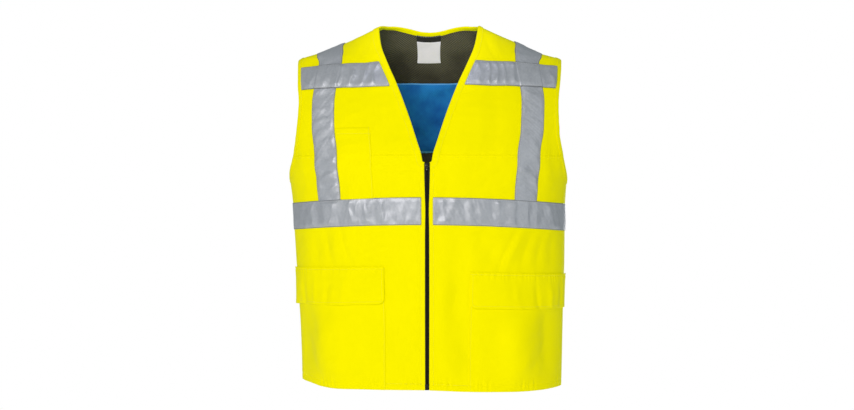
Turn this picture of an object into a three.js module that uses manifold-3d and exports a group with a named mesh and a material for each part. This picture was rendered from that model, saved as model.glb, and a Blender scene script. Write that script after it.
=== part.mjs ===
// A zip-front cooling vest in hi-vis yellow, in the shape it has when worn.
// Millimetres, +Z up, the front faces -Y and the wearer's left is +X.
// The origin is midway between the neck ends of the two shoulder seams.
import * as THREE from 'three';
import { mergeVertices } from 'three/addons/utils/BufferGeometryUtils.js';
import ManifoldModule from 'manifold-3d';

const wasm = await ManifoldModule();
wasm.setup();

// Overall form
const vestLength = 681; // neck point to hem
const chestWidth = 534; // at the underarm
const hemWidth = 498;
const shoulderWidth = 504; // tip to tip
const neckWidth = 192;
const frontDepth = 140; // shoulder seam line to the front
const backDepth = 122; // shoulder seam line to the back
const fullness = 0.12; // how far the oval is squared out towards its quarters
const shoulderDrop = 62;
const armholeDepth = 293;
const neckDepth = 265; // neck point to the bottom of the V
const backNeckRise = 4;
const bodySway = 4; // sideways shift of the sides at the hem
const hemTilt = 5.5; // the wearer's left hem hangs lower by this

// Cloth and the clearances between layers
const shellWall = 1.2;
const layerGap = 0.4;
const seamGap = 0.4; // between pieces that meet edge to edge
const liningWall = 1;
const tapeWall = 1;
const pocketWall = 1;
const flapWall = 1.2;
const bindingWall = 1;
const labelWall = 1;

// Seams, bindings and tapes
const joinDrop = 249; // cross seam between the upper and lower front
const neckBindingWidth = 10;
const armholeBindingWidth = 7;
const bindingClearance = 0.9; // between a binding and the edge inside it
const bindingFlare = 2; // how far the outer leg of a binding stands off at its end
const insideFlare = 4.2; // and its inner leg
const facingWidth = 7; // front edge to its stitch line
const tapeWidth = 50;
const chestTapeDrop = 67; // its upper edge at the V
const chestTapeFall = 0.96; // share of the tape's width that it drops on the sloping chest
const waistTapeDrop = 339; // its upper edge at the side seams
const waistTapeRise = 11; // how much higher it runs at the zip
const braceInner = 0.397; // share of the shoulder seam, neck to tip
const braceOuter = 0.744;
const braceInnerAngle = 38.1; // degrees round the body below the chest
const braceOuterAngle = 51.2;
const hemHeight = 11;

// Pockets
const pocketDropRight = 462;
const pocketDropLeft = 471;
const pocketRise = 6; // how much higher the flaps run at their inner ends
const flapHeight = 66;
const flapWing = 4; // how far the outer corner of a flap stands out
const flapTuck = 14; // how far the flap covers the top of its pocket
const pocketAngle = 18.2; // inner edge, degrees round the body
const chestPocketDrop = 198;
const chestPocketAngle = 22.2;

// Cooling panel and labels inside the back
const coolingDrop = 99;
const coolingHeight = 138;
const coolingWall = 6;
const coolingAngle = 30;
const labelWidth = 46;
const labelDrop = 9.5;
const tabHeight = 12;
const careHeight = 43;

// Zip
const teethWidth = 5;
const teethHeight = 2.4;
const zipReveal = 2; // zip tape that shows beside the teeth
const zipTapeWall = 1;
const zipTapeWidth = 9.4;
const sliderLength = 13;
const sliderPlate = 1.2;
const sliderClearance = 0.3;
const sliderNose = 3; // solid bridge at the upper end of the slider
const crownWidth = 1.6;
const crownBar = 0.8;
const pullerBar = 1.2; // thickness of the puller
const pullerWidth = 4.4;
const pullerLength = 11;
const boxHeight = 11;
const boxDepth = 4.8;

// Folds: how far they stand out of the cloth, and how wide they are
const foldDepth = 5;
const foldWidth = 22;

// Derived sizes
const chestHalf = chestWidth / 2;
const hemHalf = hemWidth / 2;
const shoulderHalf = shoulderWidth / 2;
const neckHalf = neckWidth / 2;
const frontEdgeHalf = teethWidth / 2 + zipReveal;
const chestTapeBottom = chestTapeDrop + tapeWidth * chestTapeFall;
const liningOuter = -shellWall - layerGap;
const liningInner = liningOuter - liningWall;
const labelOuter = liningInner - layerGap;
const firstLayer = [layerGap, layerGap + tapeWall];
const pocketLayer = [layerGap, layerGap + pocketWall];
const slotDepth = shellWall + layerGap + liningWall;
const chestTapeLayer = [firstLayer[1] + layerGap, firstLayer[1] + layerGap + tapeWall];
const flapLayer = [pocketLayer[1] + layerGap, pocketLayer[1] + layerGap + flapWall];

// Shoulder seam: how far out it is at each share of its drop
const shoulderLine = [
  { down: 0, out: 0 },
  { down: 0.468, out: 0.397 },
  { down: 0.774, out: 0.744 },
  { down: 1, out: 1 },
];

// Between shoulder tip and underarm: the armhole edge as a share of the way from the shoulder's
// half width to the chest's, and how far the full oval of the body would reach past it
const armholeLine = [
  { down: 0, out: 0, past: 0 },
  { down: 0.165, out: -0.2, past: 0.09 },
  { down: 0.38, out: -0.5, past: 0.13 },
  { down: 0.6, out: -0.35, past: 0.12 },
  { down: 0.8, out: 0.2, past: 0.07 },
  { down: 0.9, out: 0.62, past: 0.04 },
  { down: 1, out: 1, past: 0 },
];

// Below the underarm: share of the way from the chest's half width to the hem's, and of the sway
const sideLine = [
  { down: 0, taper: 0, sway: -0.6 },
  { down: 0.146, taper: 0.28, sway: -0.3 },
  { down: 0.29, taper: 0.37, sway: 0 },
  { down: 0.467, taper: 0.52, sway: 0.4 },
  { down: 0.64, taper: 0.78, sway: 0.7 },
  { down: 0.82, taper: 0.9, sway: 0.9 },
  { down: 1, taper: 1, sway: 1 },
];

// Depth of the body, front and back. level 0 is the neck point, 1 the shoulder tip,
// 2 the underarm and 3 the hem.
const depthLine = [
  { level: 0, front: 0.14, back: 0.52 },
  { level: 0.5, front: 0.33, back: 0.64 },
  { level: 1, front: 0.5, back: 0.76 },
  { level: 1.25, front: 0.75, back: 0.89 },
  { level: 1.6, front: 0.93, back: 0.97 },
  { level: 1.82, front: 1, back: 1 },
  { level: 2, front: 1, back: 1 },
  { level: 2.3, front: 0.98, back: 0.93 },
  { level: 2.6, front: 0.96, back: 0.94 },
  { level: 3, front: 0.96, back: 1 },
];

// The V, from the neck point down to the front edge
const neckLine = [
  { down: 0, out: 1 },
  { down: 0.126, out: 0.934 },
  { down: 0.309, out: 0.739 },
  { down: 0.428, out: 0.588 },
  { down: 0.671, out: 0.322 },
  { down: 0.862, out: 0.131 },
  { down: 0.928, out: 0.067 },
  { down: 1, out: 0.019 },
];

// How much of the shoulder's slope is left in a level row of cloth, by share of the armhole depth
const slopeFade = [
  { down: 0, left: 1 },
  { down: 0.23, left: 0.2 },
  { down: 0.39, left: 0.13 },
  { down: 0.85, left: 0 },
  { down: 1, left: 0 },
];

// Soft folds. across is a share of the chest's half width (wearer's left positive), down of the
// vest's length, length of the vest's length, tilt is degrees from upright (top leaning to +X),
// depth and width are shares of foldDepth and foldWidth.
const folds = [
  { face: 'front', across: 0.55, down: 0.625, length: 0.12, tilt: 28, depth: 1, width: 0.8 },
  { face: 'front', across: 0.72, down: 0.62, length: 0.1, tilt: 12, depth: 0.6, width: 1 },
  { face: 'front', across: -0.6, down: 0.62, length: 0.12, tilt: -20, depth: 0.7, width: 1 },
  { face: 'front', across: -0.33, down: 0.85, length: 0.12, tilt: 30, depth: -0.5, width: 1.2 },
  { face: 'front', across: 0.16, down: 0.9, length: 0.1, tilt: -25, depth: 0.5, width: 1 },
  { face: 'front', across: -0.55, down: 0.86, length: 0.2, tilt: 4, depth: 0.7, width: 1.2 },
  { face: 'front', across: 0.55, down: 0.86, length: 0.2, tilt: -5, depth: 0.7, width: 1.2 },
  { face: 'front', across: 0.82, down: 0.86, length: 0.2, tilt: 3, depth: 0.6, width: 1 },
  { face: 'front', across: -0.82, down: 0.86, length: 0.2, tilt: -3, depth: 0.5, width: 1 },
  { face: 'front', across: 0.35, down: 0.26, length: 0.1, tilt: 50, depth: 0.5, width: 1.2 },
  { face: 'back', across: -0.35, down: 0.72, length: 0.3, tilt: 8, depth: 0.9, width: 1.6 },
  { face: 'back', across: 0.4, down: 0.74, length: 0.3, tilt: -7, depth: 0.9, width: 1.6 },
];

const yellow = new THREE.MeshStandardMaterial({ color: 0xf6ee00, roughness: 0.75 });
const tapeGrey = new THREE.MeshStandardMaterial({ color: 0xa6adb4, roughness: 0.35, metalness: 0.2 });
const meshOlive = new THREE.MeshStandardMaterial({ color: 0x39351f, roughness: 0.9 });
const coolingBlue = new THREE.MeshStandardMaterial({ color: 0x2b70b0, roughness: 0.7 });
const labelBlack = new THREE.MeshStandardMaterial({ color: 0x151515, roughness: 0.8 });
const labelWhite = new THREE.MeshStandardMaterial({ color: 0xe6e6e8, roughness: 0.8 });
const zipBlack = new THREE.MeshStandardMaterial({ color: 0x1b1a14, roughness: 0.6 });
const zipMetal = new THREE.MeshStandardMaterial({ color: 0x2a2925, roughness: 0.4, metalness: 0.6 });

const { lerp, clamp, degToRad } = THREE.MathUtils;

// A smooth curve through the rows of a table that never overshoots them
function curveThrough(places, values) {
  const last = places.length - 1;
  const rise = [];
  for (let i = 0; i < last; i++) rise.push((values[i + 1] - values[i]) / (places[i + 1] - places[i]));
  const slope = [rise[0]];
  for (let i = 1; i < last; i++) {
    const same = rise[i - 1] * rise[i] > 0;
    slope.push(same ? (2 * rise[i - 1] * rise[i]) / (rise[i - 1] + rise[i]) : 0);
  }
  slope.push(rise[last - 1]);
  return (x) => {
    if (x <= places[0]) return values[0] + slope[0] * (x - places[0]);
    if (x >= places[last]) return values[last] + slope[last] * (x - places[last]);
    let i = 0;
    while (x > places[i + 1]) i++;
    const span = places[i + 1] - places[i];
    const t = (x - places[i]) / span;
    const a = values[i] * (1 + 2 * t) * (1 - t) ** 2 + values[i + 1] * t * t * (3 - 2 * t);
    return a + span * (slope[i] * t * (1 - t) ** 2 + slope[i + 1] * t * t * (t - 1));
  };
}

const sideLength = vestLength - armholeDepth;
const armLength = armholeDepth - shoulderDrop;
const zones = [0, shoulderDrop, armholeDepth, vestLength];

function levelDrop(level) {
  const zone = Math.min(2, Math.floor(level));
  return lerp(zones[zone], zones[zone + 1], level - zone);
}

function armholeHalf(row) {
  return lerp(shoulderHalf, chestHalf, row.out);
}

const widthRows = [
  ...shoulderLine.map((row) => ({
    drop: row.down * shoulderDrop,
    half: lerp(neckHalf, shoulderHalf, row.out),
  })),
  ...armholeLine.slice(1, -1).map((row) => ({
    drop: shoulderDrop + row.down * armLength,
    half: Math.max(shoulderHalf, armholeHalf(row)) * (1 + row.past),
  })),
  ...sideLine.map((row) => ({
    drop: armholeDepth + row.down * sideLength,
    half: lerp(chestHalf, hemHalf, row.taper),
  })),
];
const halfAt = curveThrough(widthRows.map((row) => row.drop), widthRows.map((row) => row.half));
const swayAt = curveThrough(
  [0, shoulderDrop, ...sideLine.map((row) => armholeDepth + row.down * sideLength)],
  [0, 0, ...sideLine.map((row) => row.sway * bodySway)],
);
const depthPlaces = depthLine.map((row) => levelDrop(row.level));
const frontAt = curveThrough(depthPlaces, depthLine.map((row) => row.front * frontDepth));
const backAt = curveThrough(depthPlaces, depthLine.map((row) => row.back * backDepth));
const armEdgeAt = curveThrough(
  armholeLine.map((row) => shoulderDrop + row.down * armLength),
  armholeLine.map(armholeHalf),
);
const neckShare = curveThrough(
  neckLine.map((row) => row.down * neckDepth),
  neckLine.map((row) => row.out),
);
const slopeLeft = curveThrough(
  slopeFade.map((row) => row.down * armholeDepth),
  slopeFade.map((row) => row.left),
);

function neckEdge(drop) {
  return drop >= neckDepth ? frontEdgeHalf : lerp(frontEdgeHalf, neckHalf, neckShare(drop));
}

// How far down the shoulder seam lies at this distance from the middle
function ridgeDrop(x) {
  let low = 0;
  let high = shoulderDrop;
  for (let i = 0; i < 40; i++) {
    const middle = (low + high) / 2;
    if (halfAt(middle) < x) low = middle;
    else high = middle;
  }
  return (low + high) / 2;
}

function foldAt(face, x, drop) {
  let sum = 0;
  for (const fold of folds) {
    if (fold.face !== face) continue;
    const dx = x - fold.across * chestHalf;
    const dz = fold.down * vestLength - drop;
    const tilt = degToRad(fold.tilt);
    const along = dx * Math.sin(tilt) + dz * Math.cos(tilt);
    const over = dx * Math.cos(tilt) - dz * Math.sin(tilt);
    const bell = Math.exp(-((over / (fold.width * foldWidth)) ** 2));
    const fade = Math.exp(-((along / (0.5 * fold.length * vestLength)) ** 2));
    sum += fold.depth * foldDepth * bell * fade;
  }
  return sum;
}

// A point of the body's surface: angle is 0 at the middle of the face and 90 degrees at its side
function bodyPoint(face, angle, drop) {
  const way = face === 'front' ? -1 : 1;
  const depth = face === 'front' ? frontAt(drop) : backAt(drop);
  const x = halfAt(drop) * Math.sin(angle) + swayAt(drop) * Math.sin(angle) ** 2;
  const bulge = 1 + fullness * Math.sin(angle) ** 2;
  const y = way * (depth * Math.cos(angle) * bulge + seamGap / 2);
  return new THREE.Vector3(x, y, -drop);
}

// Where a point lies on the oval at its height, as shares of the oval's half width and depth
function ovalShares(face, point) {
  const way = face === 'front' ? -1 : 1;
  const drop = -point.z;
  const half = halfAt(drop);
  const across = (point.x - swayAt(drop) * (point.x / half) ** 2) / half;
  const depth = face === 'front' ? frontAt(drop) : backAt(drop);
  const out = (way * point.y - seamGap / 2) / (depth * (1 + fullness * across * across));
  return { across, out };
}

// Outward direction of the body's surface, from how fast its oval grows in each direction
function bodyNormal(face, point) {
  const level = (p) => {
    const { across, out } = ovalShares(face, p);
    return across * across + out * out;
  };
  const step = 0.5;
  const normal = new THREE.Vector3();
  for (const axis of ['x', 'y', 'z']) {
    const ahead = point.clone();
    const behind = point.clone();
    ahead[axis] += step;
    behind[axis] -= step;
    normal[axis] = level(ahead) - level(behind);
  }
  if (Math.abs(point.y) < seamGap) normal.y = 0;
  return normal.normalize();
}

function vertexAt(face, angle, drop) {
  const base = bodyPoint(face, angle, drop);
  const normal = bodyNormal(face, base);
  const fade = clamp(Math.cos(angle) * 4, 0, 1);
  base.addScaledVector(normal, foldAt(face, base.x, drop) * fade);
  return { point: base, normal, angle, drop };
}

// Rows of cloth from the shoulder seam down: the named ones, and fillers where they lie far apart
function clothRows(named, longest) {
  const rows = [...named].sort((a, b) => a.drop - b.drop);
  const result = [rows[0]];
  for (let i = 1; i < rows.length; i++) {
    const from = rows[i - 1];
    const to = { ...rows[i], drop: Math.max(rows[i].drop, from.drop + leastRow) };
    rows[i] = to;
    const fillers = Math.ceil((to.drop - from.drop) / longest) - 1;
    for (let k = 1; k <= fillers; k++) {
      const t = k / (fillers + 1);
      result.push({ drop: lerp(from.drop, to.drop, t), rise: lerp(from.rise, to.rise, t) });
    }
    result.push(to);
  }
  return result;
}

const ridgeRows = [0, 0.035, 0.12, 0.3, 0.6]; // shares of the chest tape's drop
const armpitRows = [0.94, 0.975, 0.994]; // shares of the armhole's depth
const frontRowLength = 52; // longest cell of the front, top to bottom
const backRowLength = 75;
const leastRow = 1.5;

function frontRows(pocketDrop) {
  const row = (name, drop, rise = 0) => ({ name, drop, rise });
  return clothRows([
    ...ridgeRows.map((share, i) => row(`ridge${i}`, share * chestTapeDrop)),
    row('chestTapeTop', chestTapeDrop),
    row('chestTapeMiddle', (chestTapeDrop + chestTapeBottom) / 2),
    row('chestTapeBottom', chestTapeBottom),
    row('chestPocketTop', chestPocketDrop),
    row('join', joinDrop),
    row('neckBottom', neckDepth),
    ...armpitRows.map((share, i) => row(`armpit${i}`, share * armholeDepth)),
    row('underarm', armholeDepth),
    row('waistTapeTop', waistTapeDrop, waistTapeRise),
    row('waistTapeMiddle', waistTapeDrop + tapeWidth / 2, waistTapeRise),
    row('waistTapeBottom', waistTapeDrop + tapeWidth, waistTapeRise),
    row('flapTop', pocketDrop, pocketRise),
    row('pocketTop', pocketDrop + flapTuck, pocketRise),
    row('flapBottom', pocketDrop + flapHeight, pocketRise),
    row('hemTop', vestLength - hemHeight),
    row('hem', vestLength),
  ], frontRowLength);
}

const backRows = clothRows([
  { name: 'ridge0', drop: 0, rise: 0 },
  { name: 'ridge1', drop: ridgeRows[1] * chestTapeDrop, rise: 0 },
  { name: 'labelTop', drop: labelDrop, rise: 0 },
  { name: 'labelFold', drop: labelDrop + tabHeight, rise: 0 },
  { name: 'ridge4', drop: ridgeRows[4] * chestTapeDrop, rise: 0 },
  { name: 'labelBottom', drop: labelDrop + tabHeight + careHeight, rise: 0 },
  { name: 'coolingTop', drop: coolingDrop, rise: 0 },
  { name: 'coolingBottom', drop: coolingDrop + coolingHeight, rise: 0 },
  ...armpitRows.map((share, i) => ({ name: `armpit${i}`, drop: share * armholeDepth, rise: 0 })),
  { name: 'underarm', drop: armholeDepth, rise: 0 },
  { name: 'waistTapeTop', drop: waistTapeDrop, rise: 0 },
  { name: 'waistTapeMiddle', drop: waistTapeDrop + tapeWidth / 2, rise: 0 },
  { name: 'waistTapeBottom', drop: waistTapeDrop + tapeWidth, rise: 0 },
  { name: 'hemTop', drop: vestLength - hemHeight, rise: 0 },
  { name: 'hem', drop: vestLength, rise: 0 },
], backRowLength);

// Columns of cloth. seam is the share of the shoulder seam where a column starts, angle its place
// round the body below the chest; a filler lies between its neighbours, and a crowded column is
// kept clear of the V.
const leastColumn = 3;
const frontColumns = [
  { name: 'edge', seam: 0 },
  { name: 'facing', seam: neckBindingWidth / (shoulderHalf - neckHalf) },
  { filler: 0.5 },
  { name: 'pocket', seam: 0.15, angle: pocketAngle, crowded: true },
  { name: 'chestPocket', seam: 0.25, angle: chestPocketAngle, crowded: true },
  { filler: 0.5 },
  { name: 'braceInner', seam: braceInner, angle: braceInnerAngle },
  { filler: 0.5 },
  { name: 'braceOuter', seam: braceOuter, angle: braceOuterAngle },
  { filler: 1 / 3 },
  { filler: 2 / 3 },
  { name: 'armFacing', seam: 1 - armholeBindingWidth / (shoulderHalf - neckHalf) },
  { name: 'armEdge', seam: 1 },
];

const labelAngle = THREE.MathUtils.radToDeg(Math.asin(labelWidth / 2 / chestHalf));
const backColumns = [
  { name: 'middle', top: 0, angle: 0 },
  { name: 'label', top: labelWidth / 2, angle: labelAngle },
  { name: 'neck1', top: neckHalf * 0.574, angle: 11 },
  { name: 'neck2', top: neckHalf * 0.819, angle: 16 },
  { name: 'neck3', top: neckHalf * 0.956, angle: 20 },
  { name: 'neckPoint', top: neckHalf, angle: 24 },
  { name: 'cooling', seam: 0.19, angle: coolingAngle },
  { name: 'braceInner', seam: braceInner, angle: braceInnerAngle },
  { filler: 0.5 },
  { name: 'braceOuter', seam: braceOuter, angle: braceOuterAngle },
  { filler: 1 / 3 },
  { filler: 2 / 3 },
  { name: 'armEdge', seam: 1 },
];

// Where a column of the given kind meets the top of its panel
function columnTop(column) {
  const x = column.top ?? lerp(neckHalf, shoulderHalf, column.seam);
  if (x < neckHalf) return { x, drop: -backNeckRise * Math.sin((Math.PI * x) / neckHalf) };
  return { x, drop: ridgeDrop(x) };
}

// Fillers take their share between the nearest named columns on both sides
function fillIn(columns, key) {
  const values = columns.map((column) => column[key]);
  columns.forEach((column, i) => {
    if (column.filler === undefined) return;
    let before = i;
    let after = i;
    while (columns[before].filler !== undefined) before--;
    while (columns[after].filler !== undefined) after++;
    values[i] = lerp(values[before], values[after], column.filler);
  });
  return values;
}

// The panel of cloth on one face and one side, as rows of vertices from the middle to the side
function clothPanel(face, side, columns, rows) {
  const starts = columns.map((column) => (column.filler === undefined ? columnTop(column) : {}));
  const tops = fillIn(columns.map((column, i) => ({ ...column, x: starts[i].x })), 'x');
  const drops = tops.map((x, i) => starts[i].drop ?? ridgeDrop(x));
  return rows.map((row) => {
    const places = columns.map((column, i) => {
      const drop = row.drop + slopeLeft(row.drop) * drops[i];
      return { ...column, drop, half: halfAt(drop) };
    });
    places.forEach((place, i) => {
      if (place.filler !== undefined) return;
      const arm = place.drop < armholeDepth ? armEdgeAt(place.drop) : place.half;
      const blend = clamp(row.drop / chestTapeBottom, 0, 1);
      const smooth = blend * blend * (3 - 2 * blend);
      let x = lerp(tops[i], place.half * Math.sin(degToRad(place.angle ?? 0)), smooth);
      const facing = row.drop < neckDepth ? neckBindingWidth : facingWidth;
      if (place.name === 'edge') x = neckEdge(row.drop);
      if (place.name === 'facing') x = neckEdge(row.drop) + facing;
      if (place.name === 'armEdge') x = arm;
      if (place.name === 'armFacing') x = arm - armholeBindingWidth;
      if (row.drop === 0) x = tops[i];
      if (place.crowded) x = Math.max(x, neckEdge(row.drop) + neckBindingWidth + leastColumn * i);
      place.value = Math.asin(clamp(x / place.half, 0, 1));
      if (row.drop === 0 && tops[i] >= neckHalf) place.value = Math.PI / 2;
    });
    const angles = fillIn(places, 'value');
    const cells = angles.map((angle, i) => {
      const level = row.drop - row.rise * Math.cos(angle) ** 2;
      const tilt = hemTilt * side * Math.sin(angle) * (row.drop / vestLength) ** 3;
      const drop = level + slopeLeft(row.drop) * drops[i] + tilt;
      return vertexAt(face, angle * side, drop);
    });
    return { ...row, cells };
  });
}

// A closed solid between two offsets of a grid of vertices. trim holds how far each border is
// drawn in, and lift moves the two faces of single vertices. Each cell is split from its upper
// inner corner to its lower outer one, so that layers over the same cells lie parallel.
function sheet(grid, inner, outer, trim = {}, lift = () => [0, 0]) {
  const rows = grid.length;
  const columns = grid[0].length;
  const at = (j, i, out) => grid[j][i].point.clone().addScaledVector(grid[j][i].normal, out);
  const drawn = (j, i, out) => {
    const p = at(j, i, out);
    const pull = (jj, ii, gap) => {
      const way = at(jj, ii, out).sub(at(j, i, out));
      p.addScaledVector(way, Math.min(0.45, gap / way.length()));
    };
    if (j === 0 && trim.top) pull(1, i, trim.top);
    if (j === rows - 1 && trim.bottom) pull(j - 1, i, trim.bottom);
    if (i === 0 && trim.start) pull(j, 1, trim.start);
    if (i === columns - 1 && trim.end) pull(j, i - 1, trim.end);
    return p;
  };
  const layers = [0, 1].map((layer) =>
    grid.map((row, j) =>
      row.map((_, i) => {
        const extra = lift(j, i);
        return drawn(j, i, (layer ? outer : inner) + extra[layer]);
      })));
  const points = layers.flat(2);
  const index = (layer, j, i) => layer * rows * columns + j * columns + i;
  const faces = [];
  const quad = (a, b, c, d) => faces.push(a, b, c, a, c, d);
  for (let j = 0; j < rows - 1; j++) {
    for (let i = 0; i < columns - 1; i++) {
      const outward = Math.abs(grid[j][i + 1].point.x) >= Math.abs(grid[j][i].point.x);
      for (const layer of [0, 1]) {
        const ring = [[j, i], [j + 1, i], [j + 1, i + 1], [j, i + 1]].map((cell) => index(layer, ...cell));
        if (!outward) ring.push(ring.shift());
        const [a, b, c, d] = ring;
        if (layer) quad(a, b, c, d);
        else quad(a, d, c, b);
      }
    }
  }
  for (let j = 0; j < rows - 1; j++) {
    quad(index(0, j, 0), index(0, j + 1, 0), index(1, j + 1, 0), index(1, j, 0));
    const end = columns - 1;
    quad(index(1, j, end), index(1, j + 1, end), index(0, j + 1, end), index(0, j, end));
  }
  for (let i = 0; i < columns - 1; i++) {
    quad(index(0, 0, i + 1), index(0, 0, i), index(1, 0, i), index(1, 0, i + 1));
    const end = rows - 1;
    quad(index(1, end, i + 1), index(1, end, i), index(0, end, i), index(0, end, i + 1));
  }
  return closedGeometry(points, faces);
}

// A BufferGeometry from points and triangles, turned so that its faces point out
function closedGeometry(points, faces) {
  let volume = 0;
  for (let k = 0; k < faces.length; k += 3) {
    const [a, b, c] = [points[faces[k]], points[faces[k + 1]], points[faces[k + 2]]];
    volume += a.dot(b.clone().cross(c));
  }
  const turned = [...faces];
  if (volume < 0) {
    for (let k = 0; k < faces.length; k += 3) {
      turned[k + 1] = faces[k + 2];
      turned[k + 2] = faces[k + 1];
    }
  }
  const geometry = new THREE.BufferGeometry();
  geometry.setFromPoints(points);
  geometry.setIndex(turned);
  return geometry;
}

// The part of a panel between two named rows and two named columns
function patch(panel, fromRow, toRow, columns, fromColumn, toColumn) {
  const row = (name) => panel.findIndex((entry) => entry.name === name);
  const column = (name) => columns.findIndex((entry) => entry.name === name);
  const rows = panel.slice(row(fromRow), row(toRow) + 1);
  return rows.map((entry) => entry.cells.slice(column(fromColumn), column(toColumn) + 1));
}

// Both sides of the back joined along the middle, from the wearer's right to the left
function acrossBack(left, right) {
  return left.map((row, j) => [...right[j].slice(1).reverse(), ...row]);
}

// The point on the body nearest to a point that lies just off it
function settle(face, point) {
  const { across, out } = ovalShares(face, point);
  return vertexAt(face, Math.atan2(across, Math.max(0, out)), -point.z);
}

// A strip folded over an edge of shell and lining. Each station holds the edge's vertex, its face
// and the direction from the edge into the cloth.
function binding(stations, width, closed) {
  const sections = stations.map(({ vertex, face, into }) => {
    const leg = settle(face, vertex.point.clone().addScaledVector(into, width));
    const edge = (out, past) =>
      vertex.point.clone().addScaledVector(vertex.normal, out).addScaledVector(into, -past);
    const end = (out) => leg.point.clone().addScaledVector(leg.normal, out);
    const near = bindingClearance;
    const far = bindingFlare;
    const inside = insideFlare;
    return [
      end(far + bindingWall),
      edge(near + bindingWall, near),
      edge(0, near + bindingWall),
      edge(-slotDepth, near + bindingWall),
      edge(-slotDepth - near - bindingWall, near),
      end(-slotDepth - inside - bindingWall),
      end(-slotDepth - inside),
      edge(-slotDepth - near, near * 0.8),
      edge(near, near * 0.8),
      end(far),
    ];
  });
  const size = sections[0].length;
  const points = sections.flat();
  const faces = [];
  const count = closed ? sections.length : sections.length - 1;
  for (let k = 0; k < count; k++) {
    const next = (k + 1) % sections.length;
    for (let i = 0; i < size; i++) {
      const a = k * size + i;
      const b = k * size + ((i + 1) % size);
      const c = next * size + ((i + 1) % size);
      const d = next * size + i;
      faces.push(a, b, c, a, c, d);
    }
  }
  if (!closed) {
    for (const [start, flip] of [[0, true], [(sections.length - 1) * size, false]]) {
      for (const [a, b, c, d] of [[0, 1, 8, 9], [1, 2, 3, 8], [3, 4, 7, 8], [4, 5, 6, 7]]) {
        const ring = [a, b, c, d].map((value) => start + value);
        if (flip) ring.reverse();
        faces.push(ring[0], ring[1], ring[2], ring[0], ring[2], ring[3]);
      }
    }
  }
  return closedGeometry(points, faces);
}

// Stations along a chain of edge vertices, each with a point of the cloth beside it. into is
// square to the edge and lies in the cloth.
function stationsAlong(chain, closed) {
  const count = chain.length;
  return chain.map((entry, k) => {
    const before = chain[closed ? (k + count - 1) % count : Math.max(0, k - 1)].vertex.point;
    const after = chain[closed ? (k + 1) % count : Math.min(count - 1, k + 1)].vertex.point;
    const along = after.clone().sub(before).normalize();
    const into = along.clone().cross(entry.vertex.normal).normalize();
    if (into.dot(entry.cloth.clone().sub(entry.vertex.point)) < 0) into.negate();
    return { ...entry, into };
  });
}

const vest = new THREE.Group();
vest.name = 'cooling_vest';

function addPiece(name, geometry, material, parent = vest) {
  const mesh = new THREE.Mesh(geometry, material);
  mesh.name = name;
  parent.add(mesh);
  return mesh;
}

const sides = [
  { name: 'left', way: 1, pocketDrop: pocketDropLeft },
  { name: 'right', way: -1, pocketDrop: pocketDropRight },
];
for (const side of sides) {
  side.front = clothPanel('front', side.way, frontColumns, frontRows(side.pocketDrop));
  side.back = clothPanel('back', side.way, backColumns, backRows);
  side.piece = (from, to, first, last) => patch(side.front, from, to, frontColumns, first, last);
  side.backPiece = (from, to, first, last) => patch(side.back, from, to, backColumns, first, last);
}
const [leftSide, rightSide] = sides;
const backPiece = (from, to, last) =>
  acrossBack(leftSide.backPiece(from, to, 'middle', last), rightSide.backPiece(from, to, 'middle', last));

function addShell() {
  for (const side of sides) {
    const upper = side.piece('ridge0', 'join', 'edge', 'armEdge');
    const lower = side.piece('join', 'hem', 'edge', 'armEdge');
    addPiece(`front_upper_${side.name}`, sheet(upper, -shellWall, 0), yellow);
    addPiece(`front_lower_${side.name}`, sheet(lower, -shellWall, 0, { top: seamGap }), yellow);
  }
  const back = backPiece('ridge0', 'hem', 'armEdge');
  addPiece('back_panel', sheet(back, -shellWall, 0), yellow);
}

function addBindings() {
  // Edge vertices down a column, with the vertex beside each one a little lower as its cloth
  const edgeChain = (grid, face, column, beside) => grid.map((row) => {
    const cloth = row.at(beside).point.clone();
    cloth.z -= armholeBindingWidth;
    return { face, vertex: row.at(column), cloth };
  });
  const vEdge = (side) => edgeChain(side.piece('ridge0', 'neckBottom', 'edge', 'facing'), 'front', 0, 1);
  const [napeTop, napeBelow] = backPiece('ridge0', 'ridge1', 'neckPoint').map((row) => row.slice(1, -1));
  const nape = napeTop.map((vertex, i) => ({ face: 'back', vertex, cloth: napeBelow[i].point }));
  const neck = [...vEdge(rightSide).reverse(), ...nape, ...vEdge(leftSide)];
  addPiece('neck_binding', binding(stationsAlong(neck, false), neckBindingWidth, false), yellow);
  for (const side of sides) {
    const front = edgeChain(side.piece('ridge0', 'underarm', 'armFacing', 'armEdge'), 'front', -1, 0);
    const back = edgeChain(side.backPiece('ridge0', 'underarm', 'braceOuter', 'armEdge'), 'back', -1, -2);
    const loop = [...front, ...back.reverse().slice(1, -1)];
    const ring = binding(stationsAlong(loop, true), armholeBindingWidth, true);
    addPiece(`armhole_binding_${side.name}`, ring, yellow);
  }
}

function addTapes() {
  for (const side of sides) {
    const brace = side.piece('ridge0', 'waistTapeTop', 'braceInner', 'braceOuter');
    addPiece(`brace_front_${side.name}`, sheet(brace, ...firstLayer, { bottom: seamGap }), tapeGrey);
    const behind = side.backPiece('ridge0', 'waistTapeTop', 'braceInner', 'braceOuter');
    addPiece(`brace_back_${side.name}`, sheet(behind, ...firstLayer, { bottom: seamGap }), tapeGrey);
    const chest = side.piece('chestTapeTop', 'chestTapeBottom', 'facing', 'armFacing');
    const inset = { start: bindingClearance + layerGap, end: layerGap };
    addPiece(`chest_tape_${side.name}`, sheet(chest, ...chestTapeLayer, inset), tapeGrey);
    const waist = side.piece('waistTapeTop', 'waistTapeBottom', 'facing', 'armEdge');
    addPiece(`waist_tape_front_${side.name}`, sheet(waist, ...firstLayer), tapeGrey);
  }
  const waist = backPiece('waistTapeTop', 'waistTapeBottom', 'armEdge');
  addPiece('waist_tape_back', sheet(waist, ...firstLayer), tapeGrey);
}

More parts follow.
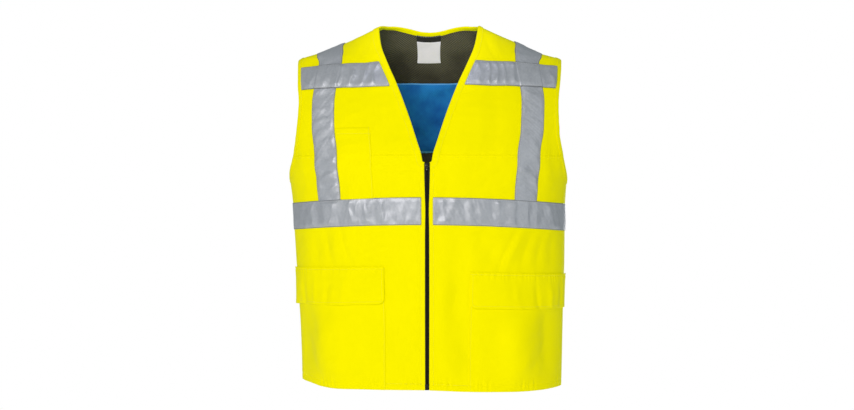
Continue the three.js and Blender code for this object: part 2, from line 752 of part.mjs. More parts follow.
function addPockets() {
  for (const side of sides) {
    const pocket = side.piece('pocketTop', 'hem', 'pocket', 'armEdge');
    addPiece(`lower_pocket_${side.name}`, sheet(pocket, ...pocketLayer), yellow);
    const flap = side.piece('flapTop', 'flapBottom', 'pocket', 'armEdge');
    const last = flap[0].length - 1;
    const wing = (j, i) => {
      const out = flapWing * (j / (flap.length - 1)) * clamp((i - last + 3) / 3, 0, 1);
      return [out, out];
    };
    addPiece(`pocket_flap_${side.name}`, sheet(flap, ...flapLayer, {}, wing), yellow);
  }
  const pen = rightSide.piece('chestPocketTop', 'waistTapeTop', 'chestPocket', 'braceInner');
  addPiece('chest_pocket', sheet(pen, ...pocketLayer, { bottom: seamGap, end: seamGap }), yellow);
}

function addBackInside() {
  const lining = backPiece('ridge1', 'hemTop', 'armEdge');
  addPiece('back_lining', sheet(lining, liningInner, liningOuter, { bottom: seamGap }), meshOlive);
  const cooling = backPiece('coolingTop', 'coolingBottom', 'cooling');
  addPiece('cooling_panel', sheet(cooling, labelOuter - coolingWall, labelOuter), coolingBlue);
  const tab = backPiece('labelTop', 'labelFold', 'label');
  addPiece('label_tab', sheet(tab, labelOuter - labelWall, labelOuter, { top: seamGap }), labelBlack);
  const care = backPiece('labelFold', 'labelBottom', 'label');
  addPiece('care_label', sheet(care, labelOuter - labelWall, labelOuter, { top: seamGap }), labelWhite);
}

// A strip along the middle of the front between two distances from the zip's line
function zipStrip(fromX, toX, fromDrop, toDrop) {
  const between = (drop) => drop > fromDrop + leastRow && drop < toDrop - leastRow;
  const drops = leftSide.front.map((row) => row.drop).filter(between);
  return [fromDrop, ...drops, toDrop].map((drop) =>
    [fromX, toX].map((x) => vertexAt('front', Math.asin(x / halfAt(drop)), drop)));
}

function merged(geometry) {
  const bare = geometry.clone();
  bare.deleteAttribute('normal');
  bare.deleteAttribute('uv');
  return mergeVertices(bare);
}

function toSolid(geometry) {
  const mesh = merged(geometry);
  const vertProperties = new Float32Array(mesh.attributes.position.array);
  const triVerts = new Uint32Array(mesh.index.array);
  return new wasm.Manifold(new wasm.Mesh({ numProp: 3, vertProperties, triVerts }));
}

function toGeometry(solid) {
  const { vertProperties, triVerts } = solid.getMesh();
  const geometry = new THREE.BufferGeometry();
  geometry.setAttribute('position', new THREE.BufferAttribute(new Float32Array(vertProperties), 3));
  geometry.setIndex(new THREE.BufferAttribute(new Uint32Array(triVerts), 1));
  return geometry;
}

// A profile drawn in the plane of the slider's length and height, as thick as width across
function sideProfile(points, width) {
  const shape = new THREE.Shape(points.map(([forward, up]) => new THREE.Vector2(forward, up)));
  const geometry = new THREE.ExtrudeGeometry(shape, { depth: width, bevelEnabled: false });
  geometry.translate(0, 0, -width / 2);
  return geometry.applyMatrix4(new THREE.Matrix4().makeBasis(
    new THREE.Vector3(0, -1, 0), new THREE.Vector3(0, 0, 1), new THREE.Vector3(-1, 0, 0)));
}

const teethMiddle = liningOuter - zipTapeWall / 2; // offset of the chain's middle plane
const slotHalf = teethHeight / 2 + sliderClearance;
const frontPlate = teethMiddle + slotHalf + sliderPlate; // offset of the slider's face
const backPlate = teethMiddle - slotHalf - sliderPlate;
const pullerAxis = frontPlate + sliderClearance + pullerBar / 2;
const crownInner = pullerBar / 2 * Math.SQRT2 + sliderClearance;
const crownOuter = crownInner + crownBar;
const crownHeight = -crownOuter - sliderPlate; // below the slider's upper end

function sliderBody() {
  const half = frontEdgeHalf - sliderClearance;
  const body = toSolid(sideProfile([
    [frontPlate, 0],
    [frontPlate, -sliderLength],
    [frontPlate - sliderPlate, -sliderLength],
    [frontPlate - sliderPlate, -sliderNose],
    [backPlate + sliderPlate, -sliderNose],
    [backPlate + sliderPlate, -sliderLength],
    [backPlate, -sliderLength],
    [backPlate, 0],
  ], 2 * half));
  const steps = 8;
  const arc = (radius) => Array.from({ length: steps + 1 }, (_, k) => {
    const turn = Math.PI / 2 - (Math.PI * k) / steps;
    return [pullerAxis + radius * Math.cos(turn), crownHeight + radius * Math.sin(turn)];
  });
  const root = frontPlate - sliderPlate / 2;
  const crown = toSolid(sideProfile([
    [root, crownHeight + crownOuter],
    ...arc(crownOuter),
    [root, crownHeight - crownOuter],
    [root, crownHeight - crownInner],
    ...arc(crownInner).reverse(),
    [root, crownHeight + crownInner],
  ], crownWidth));
  // Room beside the nose for the two zip tapes
  const room = toSolid(new THREE.BoxGeometry(2 * half, 3 * zipTapeWall, 2 * sliderNose));
  const aside = half + teethWidth / 2;
  const rooms = room.translate([aside, -teethMiddle, 0]).add(room.translate([-aside, -teethMiddle, 0]));
  return toGeometry(body.add(crown).subtract(rooms));
}

// A flat tab with an eye, hanging from the crown, its own origin on the pin line
function pullerBody() {
  const bar = pullerBar / 2;
  const eyeTop = -bar;
  const eyeBottom = -(crownOuter + 2 * sliderClearance);
  const outline = new THREE.Shape();
  const half = pullerWidth / 2;
  outline.moveTo(-half, bar);
  outline.lineTo(-half, -pullerLength + half);
  outline.absarc(0, -pullerLength + half, half, Math.PI, 2 * Math.PI);
  outline.lineTo(half, bar);
  outline.closePath();
  const eye = new THREE.Path();
  const eyeHalf = crownWidth / 2 + sliderClearance;
  eye.moveTo(-eyeHalf, eyeTop);
  eye.lineTo(eyeHalf, eyeTop);
  eye.lineTo(eyeHalf, eyeBottom);
  eye.lineTo(-eyeHalf, eyeBottom);
  eye.closePath();
  outline.holes.push(eye);
  const options = { depth: pullerBar, bevelEnabled: false, curveSegments: 6 };
  const geometry = new THREE.ExtrudeGeometry(outline, options);
  geometry.translate(0, 0, -pullerBar / 2);
  return geometry.rotateX(Math.PI / 2);
}

function addZip() {
  const start = neckDepth + 1;
  const boxTop = vestLength - boxHeight;
  const tapeLayer = [teethMiddle - zipTapeWall / 2, teethMiddle + zipTapeWall / 2];
  for (const side of sides) {
    const tapeStart = teethWidth / 2 + sliderClearance;
    const ends = [tapeStart, tapeStart + zipTapeWidth].map((x) => x * side.way);
    const strip = zipStrip(...ends, start, boxTop - seamGap);
    addPiece(`zip_tape_${side.name}`, sheet(strip, ...tapeLayer), zipBlack);
  }
  const half = teethWidth / 2;
  const chainStart = neckDepth + sliderNose + sliderClearance;
  const chain = zipStrip(-half, half, chainStart, boxTop - seamGap);
  const chainLayer = [teethMiddle - teethHeight / 2, teethMiddle + teethHeight / 2];
  addPiece('zip_teeth', sheet(chain, ...chainLayer), zipBlack);

  const seat = vertexAt('front', 0, neckDepth);
  const below = vertexAt('front', 0, neckDepth + sliderLength);
  const run = below.point.clone().sub(seat.point);
  const slider = new THREE.Group();
  slider.position.copy(seat.point);
  slider.rotation.x = Math.atan2(run.y, -run.z);
  vest.add(slider);
  addPiece('zip_slider', sliderBody(), zipMetal, slider);
  const puller = addPiece('zip_puller', pullerBody(), zipMetal, slider);
  puller.position.set(0, -pullerAxis, crownHeight);

  const boxHalf = frontEdgeHalf - seamGap;
  const foot = zipStrip(-boxHalf, boxHalf, boxTop, vestLength);
  addPiece('zip_box', sheet(foot, teethMiddle - boxDepth / 2, teethMiddle + boxDepth / 2), zipBlack);
}

addShell();
addBindings();
addTapes();
addPockets();
addBackInside();
addZip();

export default vest;
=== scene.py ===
# A zip-front cooling vest in hi-vis yellow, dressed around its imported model.
# Metres, +Z up, the front faces -Y and the wearer's left is +X.
import math

import bpy
import numpy as np
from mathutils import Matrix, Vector


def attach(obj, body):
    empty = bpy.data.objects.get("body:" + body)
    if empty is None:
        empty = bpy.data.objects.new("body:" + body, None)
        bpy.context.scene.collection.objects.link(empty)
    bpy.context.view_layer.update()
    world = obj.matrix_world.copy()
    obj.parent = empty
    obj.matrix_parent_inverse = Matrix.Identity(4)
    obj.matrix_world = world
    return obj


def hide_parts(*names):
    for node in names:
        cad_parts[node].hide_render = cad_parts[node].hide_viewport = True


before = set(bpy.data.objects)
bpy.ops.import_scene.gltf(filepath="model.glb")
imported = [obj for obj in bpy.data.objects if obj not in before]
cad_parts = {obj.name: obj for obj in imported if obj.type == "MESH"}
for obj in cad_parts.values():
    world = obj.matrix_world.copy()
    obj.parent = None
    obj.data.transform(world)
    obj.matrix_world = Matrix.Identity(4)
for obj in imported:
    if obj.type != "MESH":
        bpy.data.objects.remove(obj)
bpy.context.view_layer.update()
print("frame loaded,", len(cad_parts), "nodes")

mm = 0.001
sides = {"left": 1, "right": -1}

# The camera stands where the photo was taken: level, 3 m off, a little to the wearer's left
photoView = {
    "distance": 3.0,
    "eyeLevel": -341.6 * mm,
    "azimuth": math.radians(2),
    "aside": -5 * mm,
    "lens": 65.5,
    "sensor": 36,
}


def addCamera():
    data = bpy.data.cameras.new("photoCamera")
    data.lens = photoView["lens"]
    data.sensor_width = photoView["sensor"]
    data.clip_start = 0.05
    camera = bpy.data.objects.new("photoCamera", data)
    bpy.context.scene.collection.objects.link(camera)
    azimuth = photoView["azimuth"]
    back = Vector((math.sin(azimuth), -math.cos(azimuth), 0))
    target = Vector((photoView["aside"], 0, photoView["eyeLevel"]))
    camera.location = target + back * photoView["distance"]
    camera.rotation_euler = (-back).to_track_quat("-Z", "Y").to_euler()
    bpy.context.scene.camera = camera


addCamera()

# The vest's form, with the sizes that its construction has
form = {
    "length": 681 * mm,
    "chestHalf": 267 * mm,
    "hemHalf": 248 * mm,
    "shoulderHalf": 252 * mm,
    "neckHalf": 96 * mm,
    "neckShift": {"left": 0.5 * mm, "right": 4.2 * mm},
    "frontDepth": 140 * mm,
    "backDepth": 122 * mm,
    "fullness": 0.12,
    "shoulderDrop": 62 * mm,
    "armholeDepth": 293 * mm,
    "neckDepth": 265 * mm,
    "backNeckRise": 4 * mm,
    "sway": 4 * mm,
    "hemTilt": 5.5 * mm,
    "middleGap": 0.2 * mm,
    "frontEdge": 4.5 * mm,
    "facing": 7 * mm,
    "neckBinding": 10 * mm,
    "armBinding": 7 * mm,
}
sideLength = form["length"] - form["armholeDepth"]
armLength = form["armholeDepth"] - form["shoulderDrop"]

# Drops of the seams and edges below the neck point, and how much higher each runs at the zip
level = {
    "join": 249 * mm,
    "chestTape": 67 * mm,
    "chestTapeEnd": 115 * mm,
    "waistTape": 339 * mm,
    "waistTapeEnd": 389 * mm,
    "waistRise": 11 * mm,
    "flapLeft": 471 * mm,
    "flapRight": 462 * mm,
    "flapHeight": 66 * mm,
    "pocketTuck": 14 * mm,
    "pocketRise": 6 * mm,
    "penPocket": 198 * mm,
    "hem": 670 * mm,
}

# Distances of the cloth layers from the outer face of the shell
layer = {
    "shell": (-1.2 * mm, 0),
    "lining": (-2.6 * mm, -1.6 * mm),
    "label": (-3.7 * mm, -3.0 * mm),
    "padBack": -3.0 * mm,
    "tape": (0.2 * mm, 0.9 * mm),
    "chestTape": (1.2 * mm, 1.9 * mm),
    "pocket": (0.3 * mm, 1.3 * mm),
    "flap": (1.6 * mm, 2.8 * mm),
    "slot": 2.6 * mm,
    "zip": -2.1 * mm,
}


def lerp(a, b, t):
    return a + (b - a) * t


def smooth(t):
    t = np.clip(t, 0, 1)
    return t * t * (3 - 2 * t)


def curveThrough(places, values):
    # a smooth curve through a table that never overshoots its rows
    x, y = np.asarray(places, float), np.asarray(values, float)
    rise = np.diff(y) / np.diff(x)
    same = rise[:-1] * rise[1:] > 0
    total = np.where(same, rise[:-1] + rise[1:], 1)
    inner = np.where(same, 2 * rise[:-1] * rise[1:] / total, 0)
    slope = np.concatenate([[rise[0]], inner, [rise[-1]]])

    def curve(q):
        q = np.asarray(q, float)
        i = np.clip(np.searchsorted(x, q) - 1, 0, len(rise) - 1)
        span = x[i + 1] - x[i]
        t = (q - x[i]) / span
        middle = y[i] * (1 + 2 * t) * (1 - t) ** 2 + y[i + 1] * t * t * (3 - 2 * t)
        middle = middle + span * (slope[i] * t * (1 - t) ** 2 + slope[i + 1] * t * t * (t - 1))
        below = y[0] + slope[0] * (q - x[0])
        above = y[-1] + slope[-1] * (q - x[-1])
        return np.where(q <= x[0], below, np.where(q >= x[-1], above, middle))

    return curve


# Shoulder seam: share of its drop, share of its way out
shoulderLine = [(0, 0), (0.468, 0.397), (0.774, 0.744), (1, 1)]
# Armhole: share of its depth, the edge's way out, how far the oval reaches past it
armholeLine = [
    (0, 0, 0),
    (0.165, -0.2, 0.09),
    (0.38, -0.5, 0.13),
    (0.6, -0.35, 0.12),
    (0.8, 0.2, 0.07),
    (0.9, 0.62, 0.04),
    (1, 1, 0),
]
# Side seam: share of its length, taper to the hem, share of the sway
sideLine = [
    (0, 0, -0.6),
    (0.146, 0.28, -0.3),
    (0.29, 0.37, 0),
    (0.467, 0.52, 0.4),
    (0.64, 0.78, 0.7),
    (0.82, 0.9, 0.9),
    (1, 1, 1),
]
# Depth: level (0 neck point, 1 shoulder tip, 2 underarm, 3 hem), front share, back share
depthLine = [
    (0, 0.14, 0.52),
    (0.5, 0.33, 0.64),
    (1, 0.5, 0.76),
    (1.25, 0.75, 0.89),
    (1.6, 0.93, 0.97),
    (1.82, 1, 1),
    (2, 1, 1),
    (2.3, 0.98, 0.93),
    (2.6, 0.96, 0.94),
    (3, 0.96, 1),
]
# The V: share of its depth, share of its half width
neckLine = [
    (0, 1),
    (0.126, 0.934),
    (0.309, 0.739),
    (0.428, 0.588),
    (0.671, 0.330),
    (0.862, 0.155),
    (0.928, 0.094),
    (1, 0.042),
]
# Share of the armhole depth, how much of the shoulder's slope a level row still has
slopeFade = [(0, 1), (0.23, 0.2), (0.39, 0.13), (0.85, 0), (1, 0)]

zones = [0, form["shoulderDrop"], form["armholeDepth"], form["length"]]


def levelDrop(at):
    zone = min(2, int(at))
    return lerp(zones[zone], zones[zone + 1], at - zone)


def armHalf(out):
    return lerp(form["shoulderHalf"], form["chestHalf"], out)


widthRows = [(down * zones[1], lerp(form["neckHalf"], form["shoulderHalf"], out)) for down, out in shoulderLine]
for down, out, past in armholeLine[1:-1]:
    widthRows.append((zones[1] + down * armLength, max(form["shoulderHalf"], armHalf(out)) * (1 + past)))
for down, taper, _ in sideLine:
    widthRows.append((zones[2] + down * sideLength, lerp(form["chestHalf"], form["hemHalf"], taper)))

halfAt = curveThrough(*zip(*widthRows))
swayAt = curveThrough(
    [0, zones[1]] + [zones[2] + row[0] * sideLength for row in sideLine],
    [0, 0] + [row[2] * form["sway"] for row in sideLine],
)
depthDrops = [levelDrop(row[0]) for row in depthLine]
depthAt = {
    "front": curveThrough(depthDrops, [row[1] * form["frontDepth"] for row in depthLine]),
    "back": curveThrough(depthDrops, [row[2] * form["backDepth"] for row in depthLine]),
}
armEdgeAt = curveThrough(
    [zones[1] + row[0] * armLength for row in armholeLine],
    [armHalf(row[1]) for row in armholeLine],
)
neckShare = curveThrough([row[0] * form["neckDepth"] for row in neckLine], [row[1] for row in neckLine])
slopeLeft = curveThrough([row[0] * form["armholeDepth"] for row in slopeFade], [row[1] for row in slopeFade])


def neckReach(side):
    return form["neckHalf"] + form["neckShift"]["left" if side > 0 else "right"]


def neckEdge(drop, side):
    edge = lerp(form["frontEdge"], neckReach(side), neckShare(drop))
    return np.where(drop >= form["neckDepth"], form["frontEdge"], edge)


ridgeSteps = np.linspace(0, zones[1], 400)


def topDrop(x):
    # how far down a panel starts at this distance from the middle
    ridge = np.interp(x, halfAt(ridgeSteps), ridgeSteps)
    nape = -form["backNeckRise"] * np.sin(np.pi * np.clip(x / form["neckHalf"], 0, 1)) ** 2
    return np.where(x < form["neckHalf"], nape, ridge)


# How the cloth settles: distance from the middle, and how much higher the top edge lies, in mm
liftPlaces = [0, 20 * mm, 42 * mm, 58 * mm, 75 * mm, 88 * mm, 98 * mm, 158 * mm, 212 * mm, 252 * mm, 300 * mm]
napeLift = [-3.6 * mm, -3.2 * mm, -0.5 * mm, 2.2 * mm, 4.2 * mm, 4.4 * mm, 3.2 * mm]
topLift = {
    "left": curveThrough(liftPlaces, napeLift + [4.2 * mm, -2.4 * mm, -0.8 * mm, 0]),
    "right": curveThrough(liftPlaces, napeLift + [2.4 * mm, 0, 0, 0]),
}
# Share of the hem's half width, and how much lower the front hem lies
hemDrop = curveThrough(
    [-1, -0.89, -0.8, -0.7, -0.5, -0.26, 0, 0.3, 0.65, 0.85, 1],
    [0, 2 * mm, 5.4 * mm, 6.6 * mm, 5 * mm, 3.6 * mm, 2.2 * mm, 3.6 * mm, 3.4 * mm, 2 * mm, 0],
)
settling = {"topFade": 50 * mm, "hemFrom": 420 * mm}


def settled(face, x, drop):
    top = topDrop(np.abs(x))
    lift = np.where(x > 0, topLift["left"](np.abs(x)), topLift["right"](np.abs(x)))
    lift = lift * smooth(1 - (drop - top) / settling["topFade"])
    if face == "front":
        share = smooth((drop - settling["hemFrom"]) / (form["length"] - settling["hemFrom"]))
        lift = lift - hemDrop(np.clip(x / form["hemHalf"], -1, 1)) * share
    return lift


riseCurve = [
    (0, 0),
    (form["armholeDepth"], 0),
    (level["waistTape"], level["waistRise"]),
    (level["waistTapeEnd"], level["waistRise"]),
    (level["flapRight"], level["pocketRise"]),
    (level["flapLeft"] + level["flapHeight"], level["pocketRise"]),
    (level["hem"], 0),
    (form["length"], 0),
]


def riseAt(face, drop):
    if face == "back":
        return np.zeros_like(drop)
    return np.interp(drop, *zip(*riseCurve))


# Columns of cloth: name, distance out at the top, degrees round the body below the chest, and how
# far they keep clear of the V
def seamTop(share):
    return lerp(form["neckHalf"], form["shoulderHalf"], share)


labelHalf = 24.2 * mm
columnTable = {
    "front": [
        ("edge", seamTop(0), 0, 0),
        ("facing", form["neckHalf"] + form["neckBinding"], 0, 0),
        ("pocket", seamTop(0.15), 18.2, 9 * mm),
        ("penPocket", seamTop(0.25), 22.2, 12 * mm),
        ("braceInner", seamTop(0.397), 38.1, 0),
        ("braceOuter", seamTop(0.744), 51.2, 0),
        ("armFacing", form["shoulderHalf"] - form["armBinding"], 0, 0),
        ("armEdge", form["shoulderHalf"], 0, 0),
    ],
    "back": [
        ("middle", 0, 0, 0),
        ("label", labelHalf, math.degrees(math.asin(labelHalf / form["chestHalf"])), 0),
        ("neck1", form["neckHalf"] * 0.574, 11, 0),
        ("neck2", form["neckHalf"] * 0.819, 16, 0),
        ("neck3", form["neckHalf"] * 0.956, 20, 0),
        ("neckPoint", form["neckHalf"], 24, 0),
        ("cooling", seamTop(0.19), 30, 0),
        ("braceInner", seamTop(0.397), 38.1, 0),
        ("braceOuter", seamTop(0.744), 51.2, 0),
        ("armEdge", form["shoulderHalf"], 0, 0),
    ],
}


# How far the front braces' edges lie from their straight columns, down the tape
braceDrops = [0, 8 * mm, 15 * mm, 35 * mm, 60 * mm, 85 * mm, 110 * mm, 160 * mm, 210 * mm, 270 * mm, 340 * mm, 700 * mm]
braceTops = {"braceInner": 5 * mm, "braceOuter": -4.5 * mm}
braceShift = {
    "braceInner": curveThrough(
        braceDrops,
        [0, 2.1 * mm, 4.7 * mm, 6.6 * mm, 3.7 * mm, 0.6 * mm, 0, 0, 0, 0, 0, 0],
    ),
    "braceOuter": curveThrough(
        braceDrops,
        [0, 6 * mm, 9 * mm, 9.5 * mm, 3.6 * mm, -2.2 * mm, -4.6 * mm, -4.6 * mm, -3.4 * mm, -1.8 * mm, -1 * mm, 0],
    ),
}


def columnTops(face, side):
    # the neck's columns follow where the neck point lies on this side, and a brace's edges close in
    tops = []
    for name, top, _, _ in columnTable[face]:
        neck = name in ("neck1", "neck2", "neck3", "neckPoint")
        if neck:
            top *= neckReach(side) / form["neckHalf"]
        if name in ("edge", "facing"):
            top += neckReach(side) - form["neckHalf"]
        tops.append(top + braceTops.get(name, 0))
    return tops


def columnAngles(face, side, rowDrop):
    result = []
    edge = neckEdge(rowDrop, side)
    for (name, _, degrees, clear), top in zip(columnTable[face], columnTops(face, side)):
        drop = rowDrop + slopeLeft(rowDrop) * topDrop(top)
        half = halfAt(drop)
        blend = smooth(rowDrop / level["chestTapeEnd"])
        x = lerp(top, half * math.sin(math.radians(degrees)), blend)
        arm = np.where(drop < form["armholeDepth"], armEdgeAt(drop), half)
        facing = np.where(rowDrop < form["neckDepth"], form["neckBinding"], form["facing"])
        special = {"edge": edge, "facing": edge + facing, "armEdge": arm, "armFacing": arm - form["armBinding"]}
        x = special.get(name, x)
        x = np.where(rowDrop == 0, top, x)
        if face == "front" and name in braceShift:
            x = x + braceShift[name](rowDrop)
        if clear:
            x = np.maximum(x, edge + form["neckBinding"] + clear)
        angle = np.arcsin(np.clip(x / half, 0, 1))
        if top >= neckReach(side):
            angle = np.where(rowDrop == 0, np.pi / 2, angle)
        result.append(angle)
    return np.array(result)


def bodyPoint(face, angle, drop):
    way = -1 if face == "front" else 1
    s = np.sin(angle)
    x = halfAt(drop) * s + swayAt(drop) * s * s
    y = way * (depthAt[face](drop) * np.cos(angle) * (1 + form["fullness"] * s * s) + form["middleGap"])
    return np.stack([x, y, -np.asarray(drop, float) + 0 * x], -1)


def ovalShares(face, point):
    way = -1 if face == "front" else 1
    drop = -point[..., 2]
    half = halfAt(drop)
    across = (point[..., 0] - swayAt(drop) * (point[..., 0] / half) ** 2) / half
    bulge = 1 + form["fullness"] * across * across
    out = (way * point[..., 1] - form["middleGap"]) / (depthAt[face](drop) * bulge)
    return across, out


def bodyNormal(face, point):
    step = 0.5 * mm
    normal = np.zeros_like(point)
    for axis in range(3):
        for way in (1, -1):
            moved = point.copy()
            moved[..., axis] += way * step
            across, out = ovalShares(face, moved)
            normal[..., axis] += way * (across * across + out * out)
    normal[..., 1] = np.where(np.abs(point[..., 1]) < 2 * form["middleGap"], 0, normal[..., 1])
    return normal / np.linalg.norm(normal, axis=-1, keepdims=True)


def ripples(seed, wavelength, heading=0, jitter=math.pi, count=18):
    # a smooth random field of about unit height; heading is the direction its waves run in
    draw = np.random.default_rng(seed)
    size = 2 * np.pi / (wavelength * draw.uniform(0.6, 1.5, count))
    turn = heading + draw.uniform(-jitter, jitter, count)
    phase = draw.uniform(0, 2 * np.pi, count)

    def field(u, v):
        total = np.zeros(np.broadcast(u, v).shape)
        for k in range(count):
            total += np.cos(size[k] * (math.cos(turn[k]) * u + math.sin(turn[k]) * v) + phase[k])
        return total / math.sqrt(count / 2)

    return field


# Folds: face, share across, share down, length share, degrees from upright, depth and width in
# millimetres, and how sharp they are (2 is round, 1 is a crease)
foldTable = [
    ("front", 0.55, 0.625, 0.12, 28, 5.0, 17.6, 2),
    ("front", 0.72, 0.62, 0.1, 12, 3.0, 22, 2),
    ("front", -0.6, 0.62, 0.12, -20, 3.5, 22, 2),
    ("front", -0.33, 0.85, 0.12, 30, -2.5, 26, 2),
    ("front", 0.16, 0.9, 0.1, -25, 2.5, 22, 2),
    ("front", -0.55, 0.86, 0.2, 4, 3.5, 26, 2),
    ("front", 0.55, 0.86, 0.2, -5, 3.5, 26, 2),
    ("front", 0.82, 0.86, 0.2, 3, 3.0, 22, 2),
    ("front", -0.82, 0.86, 0.2, -3, 2.5, 22, 2),
    ("front", 0.35, 0.26, 0.1, 50, 2.5, 26, 2),
    ("back", -0.35, 0.72, 0.3, 8, 4.5, 35, 2),
    ("back", 0.4, 0.74, 0.3, -7, 4.5, 35, 2),
]
# Lesser folds, drawn between two places: face, from x, from drop, to x, to drop, depth, width, sharp
creaseTable = [
    ("front", 166, 388, 131, 461, -2.2, 5, 1.3),
    ("front", 178, 392, 146, 458, 1.2, 7, 1.8),
    ("front", 196, 392, 172, 456, -1.3, 7, 1.6),
    ("front", 216, 394, 203, 458, -1.2, 8, 1.6),
    ("front", 236, 396, 230, 450, -1.0, 8, 1.8),
    ("front", 120, 400, 95, 455, 0.9, 12, 2),
    ("front", -163, 388, -142, 452, -2.4, 6, 1.3),
    ("front", -135, 388, -114, 440, -1.7, 7, 1.5),
    ("front", -190, 396, -178, 450, -1.9, 7, 1.5),
    ("front", -212, 396, -204, 456, -1.1, 8, 1.8),
    ("front", -104, 395, -84, 445, 0.8, 10, 2),
    ("front", 62, 415, 72, 640, -3.4, 24, 2),
    ("front", 40, 470, 24, 600, 1.8, 14, 2),
    ("front", 96, 405, 150, 470, -1.8, 16, 2),
    ("front", -70, 540, -48, 640, -2.0, 18, 2),
    ("front", -118, 400, -60, 470, -1.2, 16, 2),
    ("front", -10, 570, -62, 655, 1.6, 12, 1.8),
    ("front", -14, 610, -60, 668, -1.2, 8, 1.6),
    ("front", -24, 540, -70, 610, 0.9, 14, 2),
    ("front", 22, 612, 46, 650, 1.4, 11, 1.8),
    ("front", 60, 585, 88, 640, -1.0, 12, 2),
    ("front", 30, 548, 70, 590, 0.8, 14, 2),
    ("front", -228, 530, -205, 590, -1.6, 12, 1.8),
    ("front", -225, 600, -196, 665, -1.5, 12, 1.8),
    ("front", 215, 520, 222, 600, -1.8, 14, 2),
    ("front", 222, 600, 180, 660, -1.4, 12, 1.8),
    ("front", -180, 545, -172, 662, 8.5, 30, 2),
    ("front", -230, 540, -226, 665, -6.5, 24, 2),
    ("front", 178, 545, 172, 662, 8.5, 30, 2),
    ("front", 230, 540, 226, 665, -6.5, 24, 2),
    ("front", 150, 268, 88, 318, -1.0, 10, 1.8),
    ("front", 118, 262, 66, 305, -0.8, 10, 1.8),
    ("front", 170, 285, 130, 322, 0.8, 12, 2),
    ("front", -100, 273, -32, 275, -0.9, 4, 1.5),
    ("front", -96, 281, -40, 283, 0.6, 5, 2),
    ("front", -124, 40, -134, 66, -1.0, 6, 1.6),
    ("front", -104, 22, -112, 58, 0.8, 7, 2),
    ("front", 108, 22, 124, 60, -1.0, 6, 1.6),
    ("front", 128, 34, 140, 64, 0.7, 7, 2),
    ("front", -240, 200, -232, 290, 1.0, 10, 2),
    ("front", 232, 210, 240, 290, -1.0, 10, 2),
    ("back", -150, 400, -90, 600, 2.0, 16, 1.8),
    ("back", 130, 410, 170, 610, 2.0, 16, 1.8),
    ("back", -20, 410, 10, 520, -1.5, 14, 1.8),
    ("back", 60, 120, 20, 300, -1.6, 20, 2),
    ("back", -90, 130, -50, 290, 1.4, 20, 2),
    ("back", 190, 300, 150, 335, -1.4, 10, 1.6),
    ("back", -190, 300, -150, 335, -1.4, 10, 1.6),
]
restless = {
    "front": (ripples(11, 70 * mm, math.pi / 5, 0.9), ripples(12, 26 * mm, math.pi / 5, 1.2)),
    "back": (ripples(13, 80 * mm, 0.2, 0.9), ripples(14, 30 * mm, 0.2, 1.2)),
}
restlessDepth = (0.55 * mm, 0.16 * mm)
zipCalm = (7 * mm, 30 * mm)


def fieldOf(over, along, width, half, sharp):
    bell = np.exp(-((np.abs(over) / width) ** sharp))
    return bell * np.exp(-((np.abs(along) / half) ** 2.5))


def relief(face, x, drop):
    total = np.zeros(np.broadcast(x, drop).shape)
    for where, across, down, length, tilt, depth, width, sharp in foldTable:
        if where != face:
            continue
        dx = x - across * form["chestHalf"]
        dz = down * form["length"] - drop
        turn = math.radians(tilt)
        along = dx * math.sin(turn) + dz * math.cos(turn)
        over = dx * math.cos(turn) - dz * math.sin(turn)
        fade = np.exp(-((along / (0.5 * length * form["length"])) ** 2))
        total += depth * mm * np.exp(-((over / (width * mm)) ** 2)) * fade
    small = np.zeros_like(total)
    for where, x0, z0, x1, z1, depth, width, sharp in creaseTable:
        if where != face:
            continue
        run = np.array([x1 - x0, z1 - z0]) * mm
        half = np.linalg.norm(run) / 2
        run = run / (2 * half)
        dx = x - (x0 + x1) / 2 * mm
        dz = drop - (z0 + z1) / 2 * mm
        along = dx * run[0] + dz * run[1]
        bow = 0.06 * half * (1 - (along / half) ** 2)
        over = dx * run[1] - dz * run[0] + bow
        small += 1.45 * depth * mm * fieldOf(over, along, width * mm, half * 1.1, sharp)
    for field, depth in zip(restless[face], restlessDepth):
        small += depth * field(x, drop)
    calm = 1 if face == "back" else smooth((np.abs(x) - zipCalm[0]) / (zipCalm[1] - zipCalm[0]))
    return total + small * calm


def onBody(face, angle, drop):
    point = bodyPoint(face, angle, drop)
    normal = bodyNormal(face, point)
    fade = np.clip(np.cos(angle) * 4, 0, 1)
    lift = settled(face, point[..., 0], drop)
    point = point + normal * (relief(face, point[..., 0], drop) * fade)[..., None]
    point[..., 2] += lift
    return point, normal


def spaced(start, end, step, near=()):
    # places from start to end, with finer ones round each seam
    count = max(1, math.ceil((end - start) / step))
    places = list(np.linspace(start, end, count + 1))
    for seam in near:
        for away in (-3.2, -1.8, -0.8, 0, 0.8, 1.8, 3.2):
            places.append(seam + away * mm)
    places = sorted(p for p in places if start <= p <= end)
    kept = [places[0]]
    for p in places[1:]:
        if p - kept[-1] > 0.45 * mm:
            kept.append(p)
    kept[-1] = end
    return np.array(kept)


